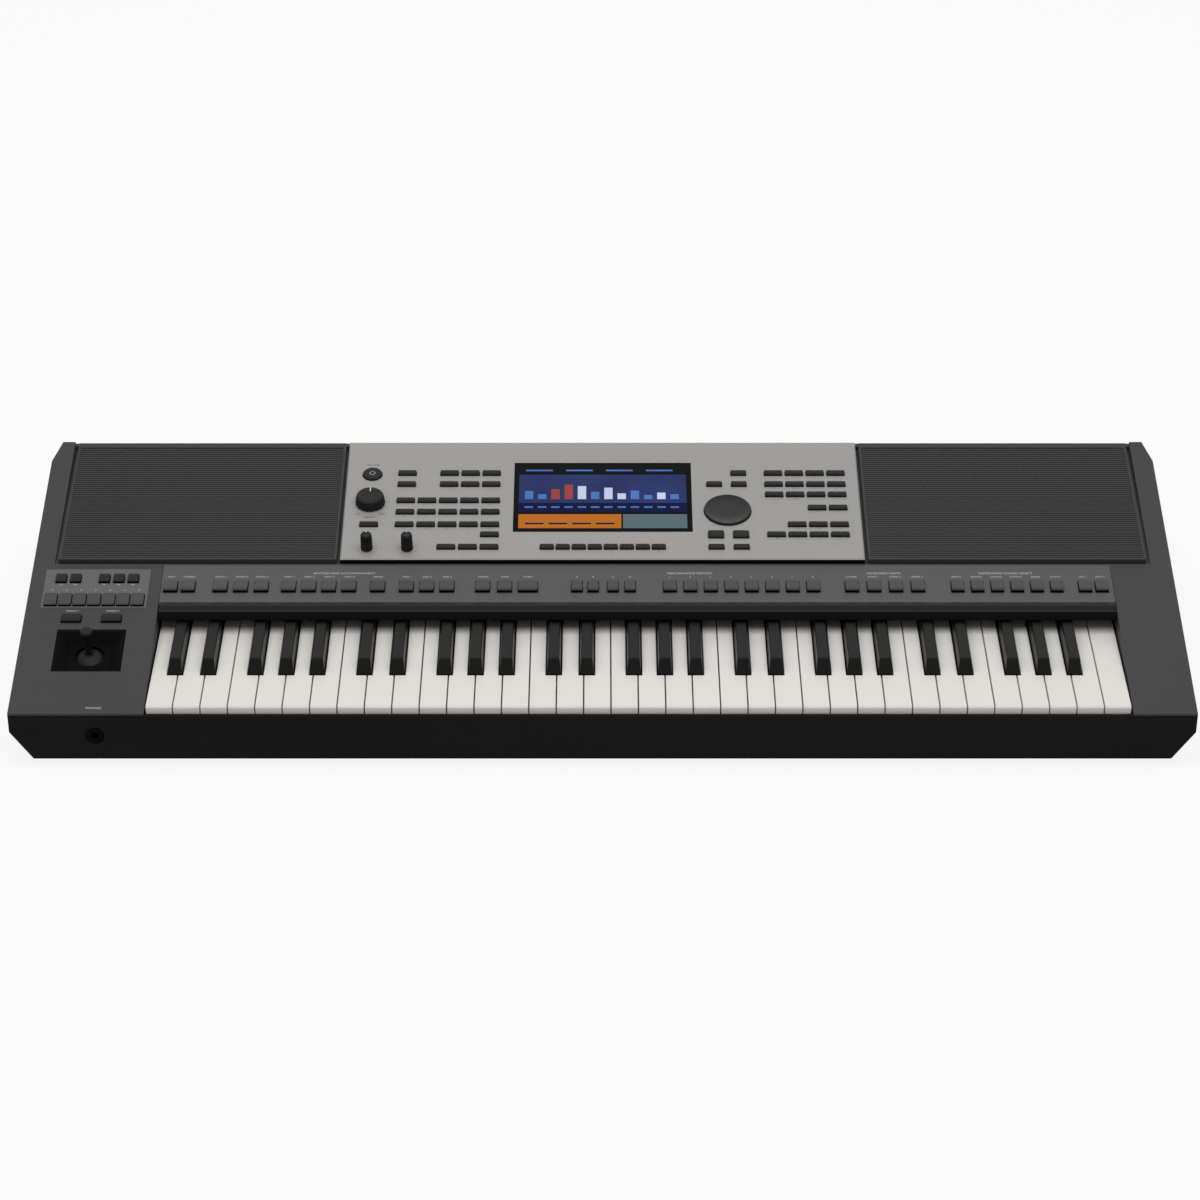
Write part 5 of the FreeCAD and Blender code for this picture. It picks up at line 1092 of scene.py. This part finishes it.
class ARRANGER_OT_grilles(bpy.types.Operator):
    """Speaker grilles: a pressed frame, rows of slats and a dark screen behind them."""

    bl_idname = "arranger.grilles"
    bl_label = "Grilles"

    BORDER = 2.4
    TOP = -1.5
    FOOT = -7.0
    LEDGE = -3.05
    FLANGE = 4.8
    SCREEN_DEPTH = 2.2
    SCREEN_INSET = 3

    def execute(self, context):
        for node in ("left_grille", "right_grille"):
            x0, x1, v0, rear = node_extent(PANEL, node)
            v1 = rear - self.FLANGE
            self.frame(node, x0, x1, v0, v1, rear)
            self.slats(node, x0, x1, v0, v1)
            self.screen(node, x0, x1, v0, v1)
        return {"FINISHED"}

    def frame(self, node, x0, x1, v0, v1, rear):
        form = bmesh.new()
        inner = self.TOP - self.SCREEN_DEPTH
        steps = ((0.0, self.FOOT), (0.0, self.TOP), (self.BORDER, self.TOP), (self.BORDER, inner))
        framed(form, PANEL, x0, x1, v0, v1, steps)
        flange = block(x0, x1, v1 - self.BORDER, rear, self.LEDGE, self.TOP + 0.05)
        lip = mesh_from(flange, node + "_lip", CRISP, PANEL.matrix())
        form.from_mesh(lip)
        bpy.data.meshes.remove(lip)
        mesh = rounded_mesh(mesh_from(form, node + "_frame", CRISP), node + "_frame", 0.0006)
        new_piece(node + "_frame", mesh, "case", "grille grey", nodes=(node,))

    def slats(self, node, x0, x1, v0, v1):
        step = sizes().slat_pitch / MM
        inner = v1 - v0 - 2 * self.BORDER
        rows = int(inner / step)
        first = v0 + self.BORDER + (inner - (rows - 1) * step) / 2
        half = (x1 - x0) / 2 - self.BORDER + 0.4
        width = sizes().slat_width
        grown_piece(
            node + "_slats",
            slat_rows_tree(),
            "grille_grey",
            rows=rows,
            start=PANEL.at((x0 + x1) / 2, first, self.TOP - width / MM / 2),
            step=PANEL.along * (step * MM),
            half_length=(half * MM, 0.0, 0.0),
            width=width,
            slope=(PANEL.slope(), 0.0, 0.0),
            material=FINISHES["grille grey"],
        )

    def screen(self, node, x0, x1, v0, v1):
        inset = self.SCREEN_INSET
        depth = self.TOP - self.SCREEN_DEPTH
        form = block(x0 + inset, x1 - inset, v0 + inset, v1 - inset, depth - 0.8, depth)
        place = PANEL.matrix()
        formed_piece(node + "_screen", form, "case", "grille screen", "grille_grey", place=place)


class ARRANGER_OT_joystick(bpy.types.Operator):
    """Dished bezel and the slim lever with its domed skirt."""

    bl_idname = "arranger.joystick"
    bl_label = "Joystick"

    def execute(self, context):
        # painted shade: the bezel is painted darker than the case black, as the shade in its dish
        dress("joystick_bezel", "recess black", sizes().plate_edge)
        dome = 17.0
        top = STICK_PIVOT_DEPTH + 24.0
        skirt = [math.radians(angle) for angle in (66, 55, 44, 33, 22)]
        profile = [(dome * math.sin(angle), dome * math.cos(angle)) for angle in skirt]
        profile += [(4.4, dome - 0.3), (3.5, dome + 0.6), (3.1, dome + 3.0)]
        profile += [(2.8, top - 10.5), (3.1, top - 8.6), (4.6, top - 6.2), (5.4, top - 4.6), (5.6, top - 3.0)]
        profile += [(5.5, top - 1.4), (5.0, top - 0.5), (4.2, top - 0.05), (2.0, top - 0.35)]
        form = turned(profile, 36)
        block(-4.0, 4.0, -4.0, 4.0, -6.0, profile[0][1], form)
        place = Matrix.Translation(STICK_POINT) @ Matrix.Rotation(DECK.slope(), 4, "X")
        node = "joystick_lever"
        formed_piece(node + "_turned", form, node, "knob dark", nodes=(node,), sharp=60.0, place=place)
        return {"FINISHED"}


class ARRANGER_OT_sockets(bpy.types.Operator):
    """Sockets at the front and rear with their rings, shells and contacts."""

    bl_idname = "arranger.sockets"
    bl_label = "Sockets"

    PHONES_RECESS = Vector((0.0, 0.0009, 0.0))
    PIN_DEPTH = -5.0
    PIN_CIRCLE = 4.9
    # place in the row of rear sockets, half width, half height
    SHELLS = ((3, 7.0, 3.3), (4, 5.0, 4.6))

    def execute(self, context):
        # painted shade: the phones jack is painted dark, as the shade of its hole
        dress("phones_jack", "recess black", 0.0003, 1)
        for node in ("rear_jacks", "round_sockets", "flat_sockets", "power_inlet"):
            dress(node, "socket black", 0.0003, 1)
        phones = [mouth + self.PHONES_RECESS for mouth in mouths("phones")]
        self.rings("rear_jack_rings", mouths("rear_jack"), -90.0, "bright steel")
        # painted shade: the ring at the phones mouth is painted dark, not steel, as the shade of the hole
        self.rings("phones_ring", phones, 90.0, "recess black")
        self.data_shells()
        self.data_pins()
        return {"FINISHED"}

    def rings(self, name, points, tilt, finish):
        section = ((3.25, 0.02), (5.6, 0.02), (5.6, 0.5), (5.2, 0.8), (3.7, 0.8), (3.25, 0.4))
        ring = mesh_from(turned(section, 28, ring=True), "ring", CRISP)
        repeated(name, points, math.radians(tilt), ring, finish)

    def data_shells(self):
        """Steel shells in the mouths of the flat data sockets."""
        first, second = mouths("rear_jack")[:2]
        noses = Plane((0.0, first.y, first.z), (0.0, 1.0, 0.0))
        steps = ((0.0, -0.3), (0.0, 0.06), (0.85, 0.06), (0.85, -6.0))
        form = bmesh.new()
        for place, half_width, half_height in self.SHELLS:
            x = (first.x + place * (second.x - first.x)) / MM
            framed(form, noses, x - half_width, x + half_width, -half_height, half_height, steps)
        formed_piece("data_shells", form, "case", "bright steel", "steel", sharp=CRISP)

    def data_pins(self):
        """Pins of the power inlet and of the round data sockets."""
        points = [mouth + Vector((0.0, self.PIN_DEPTH, 0.0)) * MM for mouth in mouths("power")]
        for mouth in mouths("data_socket"):
            for angle in (0.0, 45.0, 90.0, 135.0, 180.0):
                turn = math.radians(angle)
                x, z = self.PIN_CIRCLE * math.cos(turn), self.PIN_CIRCLE * math.sin(turn)
                points.append(mouth + Vector((x, self.PIN_DEPTH, z)) * MM)
        section = ((0.8, -4.0), (0.8, 0.6), (0.55, 1.1), (0.2, 1.3))
        pin = mesh_from(turned(section, 10), "pin", CRISP)
        repeated("data_pins", points, math.radians(-90.0), pin, "contact metal")


class ARRANGER_OT_stage(bpy.types.Operator):
    """Pale floor, soft light and the camera."""

    bl_idname = "arranger.stage"
    bl_label = "Stage"

    FLOOR_REACH = 12.0
    FLOOR_TONE = 0.55
    FLOOR_TONE_SEEN = 0.95
    FLOOR_GLOW = 0.87
    WORLD_LIGHT = 0.34
    WORLD_SEEN = 1.0
    CAMERA_PLACE = (-0.0022, -2.71402, 1.74127)
    CAMERA_TILT = 58.095
    FOCAL_LENGTH = 106.3

    def execute(self, context):
        self.floor()
        self.world()
        self.lamp("overhead softbox", (0.0, -0.6, 2.3), (0.0, 0.0, 0.0), 3.2, 2.2, 39.5)
        self.lamp("rear softbox", (0.0, 2.2, 1.7), (0.0, 0.0, 0.1), 3.2, 1.6, 5.0)
        lens = bpy.data.cameras.new("photo camera")
        tuned(lens, lens=self.FOCAL_LENGTH, sensor_width=36.0, clip_end=50.0)
        camera = in_scene("photo camera", lens)
        camera.location = self.CAMERA_PLACE
        camera.rotation_euler = (math.radians(self.CAMERA_TILT), 0.0, 0.0)
        context.scene.camera = camera
        context.scene.view_settings.view_transform = "Standard"
        return {"FINISHED"}

    def direct_rays(self, tree):
        """1 for rays that see the background directly, in a mirror or through glass."""
        path = add_node(tree, "ShaderNodeLightPath")
        total = path["Is Camera Ray"]
        for kind in ("Is Glossy Ray", "Is Transmission Ray"):
            total = arithmetic(tree, "ADD", total, path[kind], clamp=True)
        return total

    def floor(self):
        mesh = bpy.data.meshes.new("floor")
        corners = [(-1.0, -1.0, 0.0), (1.0, -1.0, 0.0), (1.0, 1.0, 0.0), (-1.0, 1.0, 0.0)]
        mesh.from_pydata([Vector(corner) * self.FLOOR_REACH for corner in corners], [], [(0, 1, 2, 3)])
        ground = in_scene("floor", mesh)
        finish = Finish("floor white")
        mesh.materials.append(FINISHES["floor white"])
        tree = finish.tree
        pale = ranged(tree, self.direct_rays(tree), self.FLOOR_TONE, self.FLOOR_TONE_SEEN)
        finish.set(Roughness=0.9, Base_Color=pale)
        glow = add_node(tree, "ShaderNodeEmission")["Emission"]
        share = arithmetic(tree, "MULTIPLY", self.direct_rays(tree), self.FLOOR_GLOW)
        mix = add_node(tree, "ShaderNodeMixShader", share, finish.shader.outputs["BSDF"], glow)
        tree.links.new(mix["Shader"], tree.nodes["Material Output"].inputs["Surface"])

    def world(self):
        world = bpy.data.worlds.new("studio")
        bpy.context.scene.world = world
        world.use_nodes = True
        tree = world.node_tree
        back = tree.nodes["Background"]
        back.inputs["Color"].default_value = (1.0, 1.0, 1.0, 1.0)
        strength = ranged(tree, self.direct_rays(tree), self.WORLD_LIGHT, self.WORLD_SEEN)
        tree.links.new(strength, back.inputs["Strength"])

    def lamp(self, name, place, aim, width, length, power):
        light = bpy.data.lights.new(name, "AREA")
        lamp = in_scene(name, tuned(light, shape="RECTANGLE", size=width, size_y=length, energy=power))
        lamp.location = place
        lamp.rotation_euler = (Vector(place) - Vector(aim)).to_track_quat("Z", "Y").to_euler()


class ARRANGER_PT_sidebar(bpy.types.Panel):
    """Lists the steps, the sizes and the colours."""

    bl_idname = "ARRANGER_PT_sidebar"
    bl_label = "Arranger Keyboard"
    bl_space_type = "VIEW_3D"
    bl_region_type = "UI"
    bl_category = "Arranger Keyboard"

    def draw(self, context):
        for step in STEPS:
            self.layout.operator(step.bl_idname)
        for group in (context.scene.arranger_sizes, context.scene.arranger_colours):
            for label in group.__annotations__:
                self.layout.prop(group, label)


STEPS = (
    ARRANGER_OT_finishes,
    ARRANGER_OT_case,
    ARRANGER_OT_keys,
    ARRANGER_OT_panel,
    ARRANGER_OT_lettering,
    ARRANGER_OT_display,
    ARRANGER_OT_knobs,
    ARRANGER_OT_grilles,
    ARRANGER_OT_joystick,
    ARRANGER_OT_sockets,
    ARRANGER_OT_stage,
)
CLASSES = (ArrangerSizes, ArrangerColours) + STEPS + (ARRANGER_PT_sidebar,)


def register():
    for item in CLASSES:
        bpy.utils.register_class(item)
    bpy.types.Scene.arranger_sizes = PointerProperty(type=ArrangerSizes)
    bpy.types.Scene.arranger_colours = PointerProperty(type=ArrangerColours)


def unregister():
    del bpy.types.Scene.arranger_colours
    del bpy.types.Scene.arranger_sizes
    for item in reversed(CLASSES):
        bpy.utils.unregister_class(item)


def main():
    register()
    bpy.ops.arranger.finishes()
    bpy.ops.arranger.case()
    bpy.ops.arranger.keys()
    bpy.ops.arranger.panel()
    bpy.ops.arranger.lettering()
    bpy.ops.arranger.display()
    bpy.ops.arranger.knobs()
    bpy.ops.arranger.grilles()
    bpy.ops.arranger.joystick()
    bpy.ops.arranger.sockets()
    bpy.ops.arranger.stage()


if __name__ == "__main__":
    main()
